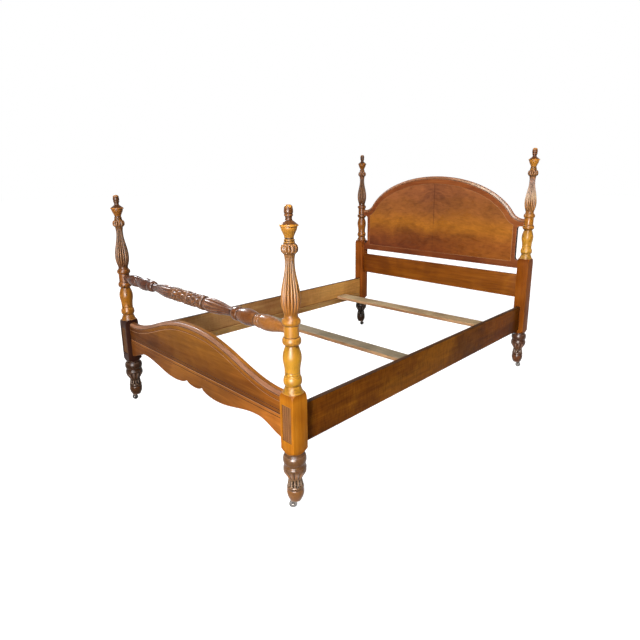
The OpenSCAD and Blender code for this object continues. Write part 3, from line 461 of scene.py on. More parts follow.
def sink_panel(block):
    """The sunk panel on the front of a foot post's block."""
    edit(block, "FACE")
    for across in (-SUNK_W / 2, SUNK_W / 2):
        score((across * MM, 0, 0), (1, 0, 0))
    for up in (SUNK_UP, SUNK_UP + SUNK_H):
        score((0, 0, (BLOCK_LOW + up) * MM), (0, 0, 1))

    def near_middle(face, half_w, half_h):
        centre = face.calc_center_median()
        return faces_front(face) and abs(centre.x) < half_w * MM and abs(centre.z - PANEL_Z) < half_h * MM

    def panel_face(face):
        return near_middle(face, SUNK_W / 2, SUNK_H / 2)

    def floor_face(face):
        return near_middle(face, SUNK_W / 2 - SUNK_RIM, SUNK_H * FLOOR_SHARE)

    def in_flute(face):
        across = face.calc_center_median().x / MM
        return any(low < across < high for low, high in zip(FLUTE_EDGES[::2], FLUTE_EDGES[1::2]))

    bpy.ops.mesh.select_mode(type="FACE")
    found = pick(block, panel_face, "faces")
    bpy.ops.mesh.extrude_region_move(TRANSFORM_OT_translate={"value": (0, SUNK_DEPTH * MM, 0)})
    bpy.ops.mesh.inset(thickness=SUNK_RIM * MM)
    for across in FLUTE_EDGES:
        bpy.ops.mesh.bisect(plane_co=(across * MM, 0, 0), plane_no=(1, 0, 0))
        pick(block, floor_face, "faces")
    pick(block, lambda face: floor_face(face) and in_flute(face), "faces")
    bpy.ops.mesh.extrude_region_move(TRANSFORM_OT_translate={"value": (0, FLUTE_DEPTH * MM, 0)})
    leave_edit()
    return found


block_of = {}
for end in ENDS:
    half = BLOCK_W / 2 * MM
    bar = box_piece(f"{end}_block", (-half, -half, BLOCK_LOW * MM), (half, half, BLOCK_TOP[end] * MM))
    carve(bar, lathe("corner_cut", corner_section(BLOCK_LOW, BLOCK_TOP[end]), CORNER_STEPS), "INTERSECT")
    if end == "foot":
        print("panel faces:", sink_panel(bar))
    ease_edges(bar, 0.7)
    smooth(bar, SMOOTH_TURNING)
    block_of[end] = bar

# %% Assemble the four posts
posts = {}
for (end, side), centre in POST_CENTRES.items():
    at = Vector((centre.x, centre.y, 0))
    posts[end, side] = join(
        f"turned_{end}_post_{side}",
        copy_of(block_of[end], "block_copy", at),
        copy_of(foot_turning, "foot_copy", at),
        copy_of(post_turning, "post_copy", at + Vector((0, 0, BLOCK_TOP[end] * MM))),
    )
for pattern in (foot_turning, post_turning, *block_of.values()):
    bpy.data.objects.remove(pattern)
print("posts:", [piece.name for piece in posts.values()])

# %% [markdown]
# ## Finials
# Each post ends in a cup with a lid and a knob. It is a turning of its own, glued in with a dowel, so it is
# made once on the lathe and copied to the four tops.

# %% Finials
FINIAL_STEPS = 96
finial = lathe("finial", section_of(FINIAL, FINIAL_NECK_R, 0), FINIAL_STEPS)
smooth(finial, SMOOTH_TURNING)
finials = {}
for (end, side), centre in POST_CENTRES.items():
    finials[end, side] = copy_of(finial, f"cup_finial_{end}_{side}", (centre.x, centre.y, POST_TOP[end] * MM))
bpy.data.objects.remove(finial)
print("finials:", len(finials))

# %% [markdown]
# ## Blanket rail
# The rail between the foot posts is turned like a post and lies on its side. Its middle is a carved drum
# between two beads; the tapers beside it are reeded, and a barrel and a vase run out to each post. One half
# is listed and mirrored in the list, so a single spin makes the whole rail.

# %% Turn and carve the blanket rail
RAIL_HALF = [
    (142, 30.2, 25.5, 0.75, "vase", "bead"), (16, 28.4, 23.4, 0.50, "bead", "bead"),
    (12, 26.4, 23.4, 0.50, "bead", "bead"), (116, 33.0, 24.6, 0.55, "belly", "belly"),
    (42, 29.4, 18.2, 0.38, "bead", "bead"), (166, 33.0, 33.0, 0.98, "vase", "cone"),
    (50, 33.0, 25.6, 0.02, "cone", "belly"), (18, 32.6, 28.0, 0.50, "bead", "bead"),
    (35.3, 33.0, 28.0, 0.45, "belly", "belly"), (35.3, 33.0, 28.0, 0.45, "belly", "belly"),
    (35.4, 33.0, 28.6, 0.45, "belly", "belly"),
]
RAIL_END_R = 15.6
KNOT_HALF_W = 9.0
KNOT_R = 32.6
KNOT_LOW_R = RAIL_HALF[-1][2]
KNOT_STEPS = 6
HUB_R = 28.0
HUB_OVERLAP = 4.0
RAIL_REEDS = 12
LEAVES = 8
LEAF_ROWS = 3
LEAF_L = 35.3

half_length = POST_X - HUB_R
half_section = section_of(RAIL_HALF, RAIL_END_R, -half_length)
knot = []
for t in range(1 - KNOT_STEPS, KNOT_STEPS):
    turn = math.pi / 2 * t / KNOT_STEPS
    knot.append((KNOT_LOW_R + (KNOT_R - KNOT_LOW_R) * math.cos(turn), KNOT_HALF_W * math.sin(turn)))
whole = [
    (RAIL_END_R, -half_length - HUB_OVERLAP), *half_section, *knot,
    *[(r, -z) for r, z in reversed(half_section)], (RAIL_END_R, half_length + HUB_OVERLAP),
]
rail = lathe("blanket_rail_turned", whole, LATHE_STEPS)
taper_in = half_length - height_of(RAIL_HALF[:5])
taper_out = half_length - height_of(RAIL_HALF[:7])
for sign in (-1, 1):
    zone = sorted((sign * (taper_in - 2), sign * (taper_out + 3)))
    grooves(rail, RAIL_REEDS, zone, 0.13)
    for row in range(LEAF_ROWS):
        leaf = sorted((sign * (KNOT_HALF_W + LEAF_L * row), sign * (KNOT_HALF_W + LEAF_L * (row + 1))))
        grooves(rail, LEAVES, leaf, 0.20, shift=0.5 * row)
turn_and_move(rail, math.pi / 2, "Y", (0, -POST_Y * MM, middle_of("blanket_rail").z))
smooth(rail, SMOOTH_TURNING)
print("blanket rail:", [round(v, 3) for v in rail.dimensions])

# %% [markdown]
# ## Moulded boards
# Headboard and footboard are flat boards with an ovolo worked along their curved front edge. On the bench
# the edge is moulded with a plane that follows the curve. Here the front face is inset again and again,
# each time by the step that the section asks for, so the moulding follows the outline by itself. The last
# steps go down and up again: that is the quirk, the narrow groove that parts a moulding from the flat. The
# blank is larger than the board below and at its ends; a stencil of the true outline then trims it.

# %% Ovolo section
EDGE_W = 13.0
EDGE_DROP = 16.0
EDGE_LIP = 3.0
QUIRK = 1.2
QUIRK_W = 3.0
QUIRK_DEPTH = 2.6
QUIRK_SLOPES = (0.3, 0.4)
OVOLO_STEPS = 7
OUTSIDE = 45.0
CLEAR = 10.0


def ovolo():
    """Steps of the section as (distance in from the outline, depth behind the front)."""
    section = [(EDGE_LIP, EDGE_W)]
    for i in range(OVOLO_STEPS - 1, -1, -1):
        a = math.pi / 2 * i / OVOLO_STEPS
        inwards = EDGE_DROP - (EDGE_DROP - EDGE_LIP) * math.sin(a)
        section.append((inwards, EDGE_W - (EDGE_W - QUIRK) * math.cos(a)))
    down, up = QUIRK_SLOPES
    for inwards, depth in ((down, QUIRK_DEPTH), (QUIRK_W, QUIRK_DEPTH), (QUIRK_W + up, 0)):
        section.append((EDGE_DROP + inwards, depth))
    return section


def moulded_blank(name, outline, front, thickness, section):
    """A slab whose front face is inset along the section; front is a place on Y in metres."""
    blank = slab(name, outline, front + EDGE_W * MM, thickness - EDGE_W)
    edit(blank, "FACE")
    pick(blank, faces_front, "faces")
    inwards, depth = 0, EDGE_W
    for next_in, next_depth in section:
        bpy.ops.mesh.inset(thickness=(next_in - inwards) * MM, depth=(depth - next_depth) * MM)
        inwards, depth = next_in, next_depth
    leave_edit()
    return blank


def mirror_half(half):
    """A whole outline from its right half, which starts in the middle."""
    return [(-x, z) for x, z in reversed(half) if x > 0.001] + half


print("steps of the moulded edge:", len(ovolo()))

# %% [markdown]
# ## Headboard
# The top is a half ellipse that flows through a hollow into a short ear on each side. The ears meet the
# posts' hubs, and a tall slot parts the panel from the post below them. A shallow recess takes the veneer
# and the light stringing round it.

# %% Model the headboard
INNER_X = POST_X - BLOCK_W / 2
FIT = 0.2
SLOT_W = 34.0
PANEL_X = INNER_X - SLOT_W
head_low_corner, head_high_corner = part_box("headboard_panel")
HEAD_FRONT = head_low_corner.y
HEAD_T = (head_high_corner.y - HEAD_FRONT) / MM
HEAD_LOW = head_low_corner.z / MM
ARCH_H = 360.0
ARCH_SPRING = HEAD_LOW + 233.0
ARCH_JOIN = math.radians(21)
ARCH_STEPS = 30
HOLLOW_STEPS = 12
HUB_MIDDLE = BLOCK_TOP["head"] + height_of(LOWER_POST[:9]) + LOWER_POST[9][0] / 2
EAR_RISE = 13.0
EAR_H = 48.0
EAR_STOP = 23.0  # from the post's axis, inside its hub
EAR_TOP = HUB_MIDDLE + EAR_RISE
EAR_LOW = EAR_TOP - EAR_H
EAR_END = POST_X - EAR_STOP
SLOT_LOW = HEAD_LOW + 53.0
STRING_W = 2.6
STRING_IN = 25.0
STRING_DROP = 52.0
STRING_UP = 41.0
VENEER_T = 1.0
SMOOTH_BOARD = 32


def half_arch(end_x):
    """Right half of the headboard's top, as pairs of a point and its outward direction."""
    path = []
    for i in range(ARCH_STEPS + 1):
        t = math.pi / 2 - (math.pi / 2 - ARCH_JOIN) * i / ARCH_STEPS
        away = Vector((math.cos(t) / PANEL_X, math.sin(t) / ARCH_H)).normalized()
        path.append((Vector((PANEL_X * math.cos(t), ARCH_SPRING + ARCH_H * math.sin(t))), away))
    join_at, away = path[-1]
    radius = (join_at.y - EAR_TOP) / (1 - away.y)
    middle = join_at + radius * away
    turn = math.atan2(-away.y, -away.x)
    for i in range(1, HOLLOW_STEPS + 1):
        t = turn + (-math.pi / 2 - turn) * i / HOLLOW_STEPS
        spoke = Vector((math.cos(t), math.sin(t)))
        path.append((middle + radius * spoke, -spoke))
    path.append((Vector((end_x, EAR_TOP)), Vector((0, 1))))
    return path


def arc(centre, radius, start, end, steps=8):
    """Points on an arc, with the angles in degrees."""
    turns = [math.radians(start + (end - start) * i / steps) for i in range(steps + 1)]
    return [(centre[0] + radius * math.cos(t), centre[1] + radius * math.sin(t)) for t in turns]


def field(inset):
    """The region inside the stringing's outer edge, made smaller by inset."""
    half_w = PANEL_X - STRING_IN - inset
    low = HEAD_LOW + STRING_UP + inset
    inner = [point - away * (STRING_DROP + inset) for point, away in half_arch(EAR_END)]
    inside = [(p.x, p.y) for p in inner if p.x < half_w]
    last, beyond = inner[len(inside) - 1], inner[len(inside)]
    share = (half_w - last.x) / (beyond.x - last.x)
    half = inside + [(half_w, last.y + (beyond.y - last.y) * share), (half_w, low)]
    return mirror_half(half)


outside_x = INNER_X + OUTSIDE
arch_half = [(p.x, p.y) for p, away in half_arch(outside_x)]
arch_outline = mirror_half(arch_half + [(outside_x, HEAD_LOW - OUTSIDE)])
headboard = moulded_blank("headboard", arch_outline, HEAD_FRONT, HEAD_T, ovolo())
slot_r = SLOT_W / 2
slot_x = PANEL_X + slot_r
right_side = [
    (0, EAR_TOP + ARCH_H), (EAR_END, EAR_TOP + ARCH_H), (EAR_END, EAR_LOW), (slot_x, EAR_LOW),
    *arc((slot_x, EAR_LOW - slot_r), slot_r, 90, 180)[1:],
    *arc((slot_x, SLOT_LOW + slot_r), slot_r, 180, 335),
    (INNER_X - FIT, SLOT_LOW + slot_r * 0.58), (INNER_X - FIT, HEAD_LOW),
]
before_head = HEAD_FRONT - CLEAR * MM
carve(headboard, slab("head_stencil", mirror_half(right_side), before_head, HEAD_T + 2 * CLEAR), "INTERSECT")
carve(headboard, slab("recess", field(-FIT), before_head, VENEER_T + CLEAR))
ease_edges(headboard, 0.5, segments=1, angle=50)
smooth(headboard, SMOOTH_BOARD)
print("headboard:", [round(v, 3) for v in headboard.dimensions])

# %% Inlay
stringing = slab("stringing_line", field(0), HEAD_FRONT, VENEER_T)
carve(stringing, slab("inside_line", field(STRING_W), before_head, VENEER_T + 2 * CLEAR))
veneer = slab("crotch_leaves", field(STRING_W + FIT / 2), HEAD_FRONT, VENEER_T)
seam = 0.15 * MM
below_veneer, above_veneer = 0.5, 1.5
saw_low = (-seam, HEAD_FRONT - CLEAR * MM, below_veneer)
saw_high = (seam, HEAD_FRONT + CLEAR * MM, above_veneer)
carve(veneer, box_piece("seam", saw_low, saw_high))
print("stringing and veneer:", len(stringing.data.polygons), len(veneer.data.polygons), "faces")

# %% [markdown]
# ## Footboard
# Its top rises in a long eased arch with the same ovolo. Below the moulding a cut line follows the arch,
# with a pale one close beside it, and three cut lines and a pale one cross the board on the level. The cut
# lines are grooves; the pale ones are scraped a third of a millimetre deep and get a finish of their own.
# The underside is scrolled: a drop in the middle, a lobe on each side of it and a long double curve to each
# post.

# %% Model the footboard
foot_low_corner, foot_high_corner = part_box("footboard_panel")
FOOT_FRONT = foot_low_corner.y
FOOT_T = (foot_high_corner.y - FOOT_FRONT) / MM
CROWN = 606.0
SHOULDER = 481.0
BLANK_LOW = 200.0
ON_FRONT = 0.2 * MM
FLAT_X = 38.0
FULLNESS = 1.2
TOP_STEPS = 36
LINE_IN, LINE_OUT, PALE_OUT = 36.0, 39.0, 41.5
LINE_SLOPE = 0.4
PALE_SLOPE = 0.1
LINE_DEPTH = 1.5
PALE_DEPTH = 0.3
# Height, width and depth of each line that crosses the board
LEVEL_LINES = (
    (404.0, 3.0, LINE_DEPTH), (389.0, 5.0, LINE_DEPTH), (384.5, 2.6, PALE_DEPTH), (371.0, 3.0, LINE_DEPTH),
)
UNDER_X = (0, 68, 190, 500, INNER_X - FIT)
UNDER_Z = (300, 322, 290, 333, 288)
UNDER_CURVES = (lambda q: 1 - CURVES["bead"](1 - q), CURVES["bead"], CURVES["vase"], CURVES["vase"])
UNDER_STEPS = 12


def foot_top(x):
    q = min(1, abs(x) / (INNER_X - FLAT_X))
    return CROWN - (CROWN - SHOULDER) * CURVES["vase"](q ** FULLNESS)


def foot_underside():
    """Right half of the scrolled underside, from the middle outwards."""
    points = []
    for k, curve in enumerate(UNDER_CURVES):
        for i in range(0 if k == 0 else 1, UNDER_STEPS + 1):
            q = i / UNDER_STEPS
            x = UNDER_X[k] + (UNDER_X[k + 1] - UNDER_X[k]) * q
            points.append((x, UNDER_Z[k] + (UNDER_Z[k + 1] - UNDER_Z[k]) * curve(q)))
    return points


def cut_level_line(height, line_w, depth):
    """Cuts the board along two level planes and pushes in the front between them."""
    low, high = (height - line_w / 2) * MM, (height + line_w / 2) * MM

    def on_line(face):
        centre = face.calc_center_median()
        return faces_front(face) and low < centre.z < high and centre.y < FOOT_FRONT + ON_FRONT

    edit(footboard)
    for level in (low, high):
        score((0, 0, level), (0, 0, 1))
    bpy.ops.mesh.select_mode(type="FACE")
    pick(footboard, on_line, "faces")
    bpy.ops.mesh.extrude_region_move(TRANSFORM_OT_translate={"value": (0, depth * MM, 0)})
    leave_edit()


top_xs = [INNER_X * i / TOP_STEPS for i in range(TOP_STEPS + 1)]
top_half = [(x, foot_top(x)) for x in top_xs] + [(outside_x, SHOULDER), (outside_x, BLANK_LOW)]
arch_line = [
    (LINE_IN, 0), (LINE_IN + LINE_SLOPE, LINE_DEPTH), (LINE_OUT - LINE_SLOPE, LINE_DEPTH),
    (LINE_OUT, PALE_DEPTH), (PALE_OUT, PALE_DEPTH), (PALE_OUT + PALE_SLOPE, 0),
]
footboard = moulded_blank("footboard", mirror_half(top_half), FOOT_FRONT, FOOT_T, ovolo() + arch_line)
foot_half = [(0, CROWN + OUTSIDE), (INNER_X - FIT, CROWN + OUTSIDE), *reversed(foot_underside())]
stencil = slab("foot_stencil", mirror_half(foot_half), FOOT_FRONT - CLEAR * MM, FOOT_T + 2 * CLEAR)
carve(footboard, stencil, "INTERSECT")
for line in LEVEL_LINES:
    cut_level_line(*line)
ease_edges(footboard, 0.4, segments=1, angle=60)
smooth(footboard, SMOOTH_BOARD)
print("footboard:", [round(v, 3) for v in footboard.dimensions])

# %% [markdown]
# ## Rails and slats
# These are sawn boards. The rails were planed and their corners eased by hand; the loose slats stayed
# rough. A stretched cube is divided along its length and its points are nudged a little before the corners
# are rounded, because a board with perfectly straight corners looks like plastic.

# %% Rails and slats
SMOOTH_SAWN = 40
PLATE_DEPTH = 3.1
PLATE_HALF_W = 8.1
PLATE_HALF_H = 65.1
PLATE_CLEAR = 5.0
SLATS = {"slat_head": (104.0, 2.6), "slat_foot": (88.0, 1.2)}  # width in mm, turn in degrees


def board(name, low, high, along, waver, ease, pieces=14):
    """A sawn board between two corners in metres, divided along one axis and slightly uneven."""
    piece = box_piece(name, low, high)
    edit(piece)
    axis = "XYZ".index(along)
    for i in range(1, pieces):
        at = Vector(low)
        at[axis] = low[axis] + (high[axis] - low[axis]) * i / pieces
        score(at, [1 if k == axis else 0 for k in range(3)])
    pick(piece, lambda vert: low[axis] + MM < vert.co[axis] < high[axis] - MM)
    bpy.ops.transform.vertex_random(offset=waver * MM, uniform=0.0, normal=0.0, seed=len(name))
    leave_edit()
    ease_edges(piece, ease, segments=3, angle=40)
    smooth(piece, SMOOTH_SAWN)
    return piece


low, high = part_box("head_rail")
rail_end_x = (INNER_X - FIT) * MM
corners = (-rail_end_x, low.y, low.z), (rail_end_x, high.y, high.z)
head_rail = board("lower_head_rail", *corners, "X", 0.15, 1.5)

side_rails = {}
for side in SIDES:
    low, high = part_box(f"side_rail_{side}")
    piece = board(f"planed_side_rail_{side}", low, high, "Y", 0.12, 2.0)
    left_x, right_x = ((low.x + high.x) / 2 + sign * PLATE_HALF_W * MM for sign in (-1, 1))
    low_z, high_z = ((low.z + high.z) / 2 + sign * PLATE_HALF_H * MM for sign in (-1, 1))
    for end_y, inner in ((low.y, 1), (high.y, -1)):
        near_y, far_y = sorted((end_y - inner * PLATE_CLEAR * MM, end_y + inner * PLATE_DEPTH * MM))
        carve(piece, box_piece("plate_recess", (left_x, near_y, low_z), (right_x, far_y, high_z)))
    smooth(piece, SMOOTH_SAWN)
    side_rails[side] = piece

slats = {}
for name, (width, turn) in SLATS.items():
    low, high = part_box(name)
    turn = math.radians(turn)
    half_l = ((high.x - low.x) / MM - width * math.sin(turn)) / math.cos(turn) / 2 * MM
    half_w = width / 2 * MM
    corners = (-half_l, -half_w, low.z), (half_l, half_w, high.z)
    piece = board(f"rough_{name}", *corners, "X", 0.35, 1.4, pieces=20)
    turn_and_move(piece, -turn, "Z", (0, middle_of(name).y, 0))
    slats[name] = piece
    made = [round(v, 4) for v in piece.dimensions]
    print(name, made, "wanted", [round(v, 4) for v in high - low])

# %% [markdown]
# ## Old varnish
# The wood is stained and varnished. Where the turnings are full it is paler amber, partly rubbed wear and
# partly painted highlight; in the hollows it is browner, partly old polish that gathers there and partly
# painted shade. One recipe serves all the wood but the veneer. Noise that is stretched along the grain makes
# the figure, finer noise makes the pores, and a few soft blotches stop it looking dipped in one colour.
#
# Hollows and arrises are found in two ways. A turned piece has points everywhere, so the Pointiness of its
# mesh shows both, and Ambient Occlusion deepens the wider hollows. A board has one wide face with no points
# inside it, so Ambient Occlusion with a short reach looks for them: outside the wood for hollows, inside it
# for arrises.

# %% Node helpers
def new_finish(name):
    made = bpy.data.materials.new(name)
    made.use_nodes = True
    return made, made.node_tree, made.node_tree.nodes["Principled BSDF"]


def srgb(red, green, blue):
    """A colour as a screen shows it, 0 to 255, turned into the shader's linear colour."""
    shares = [channel / 255 for channel in (red, green, blue)]
    return [((c + 0.055) / 1.055) ** 2.4 if c > 10 / 255 else c / 12.92 for c in shares] + [1]


def add(tree, kind, **settings):
    node = tree.nodes.new(f"ShaderNode{kind}")
    for name, value in settings.items():
        setattr(node, name, value)
    return node


def feed(tree, value, socket):
    """Links a socket, or writes a plain value."""
    if isinstance(value, bpy.types.NodeSocket):
        tree.links.new(value, socket)
    else:
        socket.default_value = value


def ramp(tree, source, *stops, interpolation="EASE"):
    """A colour ramp driven by source; each stop is a place and a colour or a grey."""
    node = add(tree, "ValToRGB")
    node.color_ramp.interpolation = interpolation
    elements = node.color_ramp.elements
    while len(elements) < len(stops):
        elements.new(0.5)
    for element, (place, colour) in zip(elements, sorted(stops, key=lambda stop: stop[0])):
        element.position = place
        element.color = colour if isinstance(colour, (list, tuple)) else (colour, colour, colour, 1)
    tree.links.new(source, node.inputs["Fac"])
    return node.outputs["Color"]


def mix(tree, share, first, second, mode="MIX"):
    node = add(tree, "Mix", data_type="RGBA", blend_type=mode)
    feed(tree, share, node.inputs["Factor"])
    feed(tree, first, node.inputs["A"])
    feed(tree, second, node.inputs["B"])
    return node.outputs["Result"]


def math_node(tree, operation, first, second=0.0):
    node = add(tree, "Math", operation=operation)
    feed(tree, first, node.inputs[0])
    feed(tree, second, node.inputs[1])
    return node.outputs["Value"]


def times(tree, first, second):
    return math_node(tree, "MULTIPLY", first, second)


def between(tree, value, low, high, to_low=0.0, to_high=1.0):
    """Maps a value from one range to another and holds it at the ends."""
    node = add(tree, "MapRange")
    feed(tree, value, node.inputs["Value"])
    for name, number in (("From Min", low), ("From Max", high), ("To Min", to_low), ("To Max", to_high)):
        node.inputs[name].default_value = number
    return node.outputs["Result"]


def noise(tree, vector, scale, detail=4.0, roughness=0.55, distortion=0.0):
    node = add(tree, "TexNoise")
    settings = {"Scale": scale, "Detail": detail, "Roughness": roughness, "Distortion": distortion}
    for name, number in settings.items():
        node.inputs[name].default_value = number
    tree.links.new(vector, node.inputs["Vector"])
    return node.outputs["Fac"]


def place_on(tree):
    """Object coordinates: the place in metres, with its middle at the middle of the bedstead's floor."""
    return add(tree, "TexCoord").outputs["Object"]


def pattern_space(tree, scale=(1, 1, 1), at=(0, 0, 0)):
    """Object coordinates, moved and stretched by a Mapping node."""
    mapping = add(tree, "Mapping")
    mapping.inputs["Scale"].default_value = scale
    mapping.inputs["Location"].default_value = at
    tree.links.new(place_on(tree), mapping.inputs["Vector"])
    return mapping.outputs["Vector"]


def slanted(tree, stretch, turn, source):
    """A vector turned round Y first and then stretched, for grain that runs at a slant."""
    mapping = add(tree, "Mapping", vector_type="TEXTURE")
    mapping.inputs["Rotation"].default_value = (0, turn, 0)
    mapping.inputs["Scale"].default_value = stretch
    tree.links.new(source, mapping.inputs["Vector"])
    return mapping.outputs["Vector"]


def split(tree):
    """The X, the Y and the Z of the place."""
    node = add(tree, "SeparateXYZ")
    tree.links.new(place_on(tree), node.inputs["Vector"])
    return node.outputs


def stretched(axis, along=0.07, across=1.0):
    """Scale of a pattern: under 1 draws it out, along the axis or across it."""
    return [along if letter == axis else across for letter in "XYZ"]


def bump(tree, shader, height, strength, distance):
    relief = add(tree, "Bump")
    relief.inputs["Strength"].default_value = strength
    relief.inputs["Distance"].default_value = distance
    tree.links.new(height, relief.inputs["Height"])
    tree.links.new(relief.outputs["Normal"], shader.inputs["Normal"])


# %% Hollows and arrises
LOOKS = 6
TURNED_REACH = 0.022
BOARD_REACH = 0.008


def openness(tree, reach, inside=False):
    """Ambient Occlusion: 1 where nothing is near within reach, in metres."""
    node = add(tree, "AmbientOcclusion", samples=LOOKS, inside=inside)
    node.inputs["Distance"].default_value = reach
    return node.outputs["AO"]


# Darkens wherever other surfaces are near: partly grime, partly painted shade.
def hollow_share(tree, reach):
    return ramp(tree, openness(tree, reach), (0.38, 1.0), (0.92, 0.0))


def mesh_hollows(tree):
    """Shares of hollow and of arris for turned and carved pieces, whose meshes have points everywhere."""
    point = add(tree, "NewGeometry").outputs["Pointiness"]
    creases = ramp(tree, point, (0.45, 1.0), (0.493, 0.0))
    arrises = ramp(tree, point, (0.506, 0.0), (0.55, 1.0))
    return math_node(tree, "MAXIMUM", creases, hollow_share(tree, TURNED_REACH)), arrises


def board_hollows(tree):
    """The same two shares for boards: the arrises are found by looking a few millimetres into the wood."""
    arrises = ramp(tree, openness(tree, BOARD_REACH * 0.5, inside=True), (0.55, 1.0), (0.95, 0.0))
    return hollow_share(tree, BOARD_REACH), arrises


# %% The wood recipe
# Colour of the hollows: partly old polish, partly painted shade.
GRIME_AND_SHADE = srgb(34, 16, 9)
PORE_SCALE = 420
BLOTCH_SCALE = 2.4
SMUDGE_SCALE = 26
STROKE_SCALE = 130


def wood(name, dark, middle, light, axis, seed, grime_and_shade=0.9, arris_share=0.5, worn=None, gloss=0.34, figure=45.0,
         turned=False, tints=(), shine=0.05, pore_depth=0.3, ripple=0.0):
    """
    Stained and varnished wood. Dark, middle and light colour the figure along the axis of the grain.
    The hollows are darkened, partly as grime and partly as painted shade, and the arrises take the arris
    colour, partly wear and partly painted highlight. Each tint takes the tree and the colour and gives a new
    colour back. The seed moves the pattern, gloss is the roughness of the varnish and shine the strength of
    its mirror image.
    """
    made, tree, shader = new_finish(name)
    along_grain = pattern_space(tree, stretched(axis), (seed, seed * 0.7, seed * 1.3))
    even = pattern_space(tree, at=(seed * 2.1, -seed, seed * 0.4))
    fine = pattern_space(tree, stretched(axis, 0.03), (seed, 0, seed))
    figured = noise(tree, along_grain, figure, 5, 0.6, 0.6)
    pores = noise(tree, fine, PORE_SCALE, 3, 0.6)
    blotches = noise(tree, even, BLOTCH_SCALE, 3, 0.5, 0.8)
    colour = ramp(tree, figured, (0.30, dark), (0.50, middle), (0.72, light))
    colour = mix(tree, 0.55, colour, ramp(tree, blotches, (0.36, dark), (0.50, middle), (0.64, light)))
    colour = mix(tree, pore_depth, colour, ramp(tree, pores, (0.36, 0.40), (0.54, 1.0)), "MULTIPLY")
    if ripple:
        across_grain = pattern_space(tree, stretched(axis, 1.0, 0.16), (0, seed, -seed))
        strokes = noise(tree, across_grain, STROKE_SCALE, 4, 0.65, 0.3)
        stripes = ramp(tree, strokes, (0.36, 0.45), (0.52, 1.0), (0.68, 1.35))
        colour = mix(tree, ripple, colour, stripes, "MULTIPLY")
    for tint in tints:
        colour = tint(tree, colour)
    hollow, arris = mesh_hollows(tree) if turned else board_hollows(tree)
    # Arrises: wear, and on the turnings also painted highlight on the crests.
    colour = mix(tree, times(tree, arris, arris_share), colour, worn or light)
    # Hollows: partly old polish and partly painted shade.
    colour = mix(tree, times(tree, hollow, grime_and_shade), colour, GRIME_AND_SHADE)
    tree.links.new(colour, shader.inputs["Base Color"])
    smudged = between(tree, noise(tree, even, SMUDGE_SCALE, 4, 0.6), 0.3, 0.7, gloss - 0.07, gloss + 0.14)
    duller = math_node(tree, "ADD", smudged, times(tree, hollow, 0.25))
    tree.links.new(duller, shader.inputs["Roughness"])
    bump(tree, shader, pores, strength=0.22, distance=0.0005)
    shader.inputs["Specular IOR Level"].default_value = shine
    return made


def dress(piece, finish, body, node):
    """Gives a piece its finish and its body, and hides the node of the frame that it stands for."""
    piece.data.materials.append(finish)
    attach(piece, body)
    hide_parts(node)


def second_finish(piece, finish, chosen):
    """Gives the faces that pass the test another finish."""
    piece.data.materials.append(finish)
    edit(piece, "FACE")
    count = pick(piece, chosen, "faces")
    piece.active_material_index = len(piece.data.materials) - 1
    bpy.ops.object.material_slot_assign()
    leave_edit()
    return count


BODY = "bedstead"
print("wood recipe ready")

# %% [markdown]
# ## Finish of the posts
# Along a post the colour changes: the foot is dark with handling and old polish, the vases and the hub are
# the brightest, the reeded shaft is browner again with a painted cold sky reflection on its swell and at its
# top, the bell of the foot carries the same painted reflection, and the finial has a golden cup under a dark
# lid. A ramp over the height multiplies the wood's colour. Every post has its own, because the head posts'
# blocks are taller, and the left ones are redder and darker.
#
# Three parts of a post get another finish than the turning: the foot has fully darkened hollows, partly
# grime and partly painted shade, and paler arrises with a painted greyish highlight; the square block is
# plainer and darker where it meets the turnings; and the sunk panel with its flutes is dull. The material
# is changed on the faces themselves, which are found by where they are.

# %% Tints along the height
def tint_along(axis, low, high, marks):
    """Marks are (place in mm from low, tint) along an axis; gives a function that tints a wood's colour."""
    def tint(tree, colour):
        share = between(tree, split(tree)[axis], low, high)
        stops = [(place * MM / (high - low), [*value, 1]) for place, value in marks]
        return mix(tree, 1.0, colour, ramp(tree, share, *stops, interpolation="LINEAR"), "MULTIPLY")
    return tint


def toned(tint, tone):
    return [c * tone for c in tint]


def post_tint(end, foot, vases, hub, shaft, painted_sheen, shaft_top, collar):
    """Tints of one post from its foot to its collar."""
    z = BLOCK_TOP[end]
    vase_top = z + height_of(LOWER_POST[:7])
    hub_top = z + height_of(LOWER_POST[:10])
    low_shaft = z + shaft_low
    top_shaft = z + shaft_high
    bell = [c * more for c, more in zip(foot, BELL_PAINTED_SHEEN)]
    marks = [
        (0, toned(foot, 1.75)), (bell_low - 16, toned(foot, 1.75)), (bell_low - 8, foot),
        (bell_low + 6, bell), (bulb_low, bell), (bulb_low + 26, toned(foot, 2.6)), (bulb_low + 46, foot),
        (BLOCK_LOW - 2, foot), (z - 2, toned(vases, 0.7)), (z + 30, toned(vases, 0.76)), (z + 62, vases),
        (vase_top - 46, vases), (vase_top, toned(vases, 0.68)), (vase_top + 14, toned(hub, 0.8)),
        (hub_top - 4, hub), (low_shaft + 4, toned(shaft, 0.7)), (low_shaft + 24, shaft),
        (low_shaft + 55, shaft), (low_shaft + 95, painted_sheen), (top_shaft, shaft_top), (top_shaft + 30, collar),
    ]
    return tint_along("Z", 0, POST_TOP[end] * MM, marks)


def finial_tint(end, cup, dark):
    """Golden cup, dark lid and knob, golden dome."""
    marks = [
        (0, toned(cup, 0.6)), (15, toned(cup, 0.6)), (19, toned(cup, 0.9)), (52, cup), (60, toned(cup, 1.2)),
        (65, toned(cup, 1.1)), (68, dark), (93, dark), (98, toned(dark, 1.9)), (103, dark),
        (122, toned(dark, 1.3)), (128, cup), (134, cup),
    ]
    low = POST_TOP[end] * MM
    return tint_along("Z", low, low + height_of(FINIAL) * MM, marks)
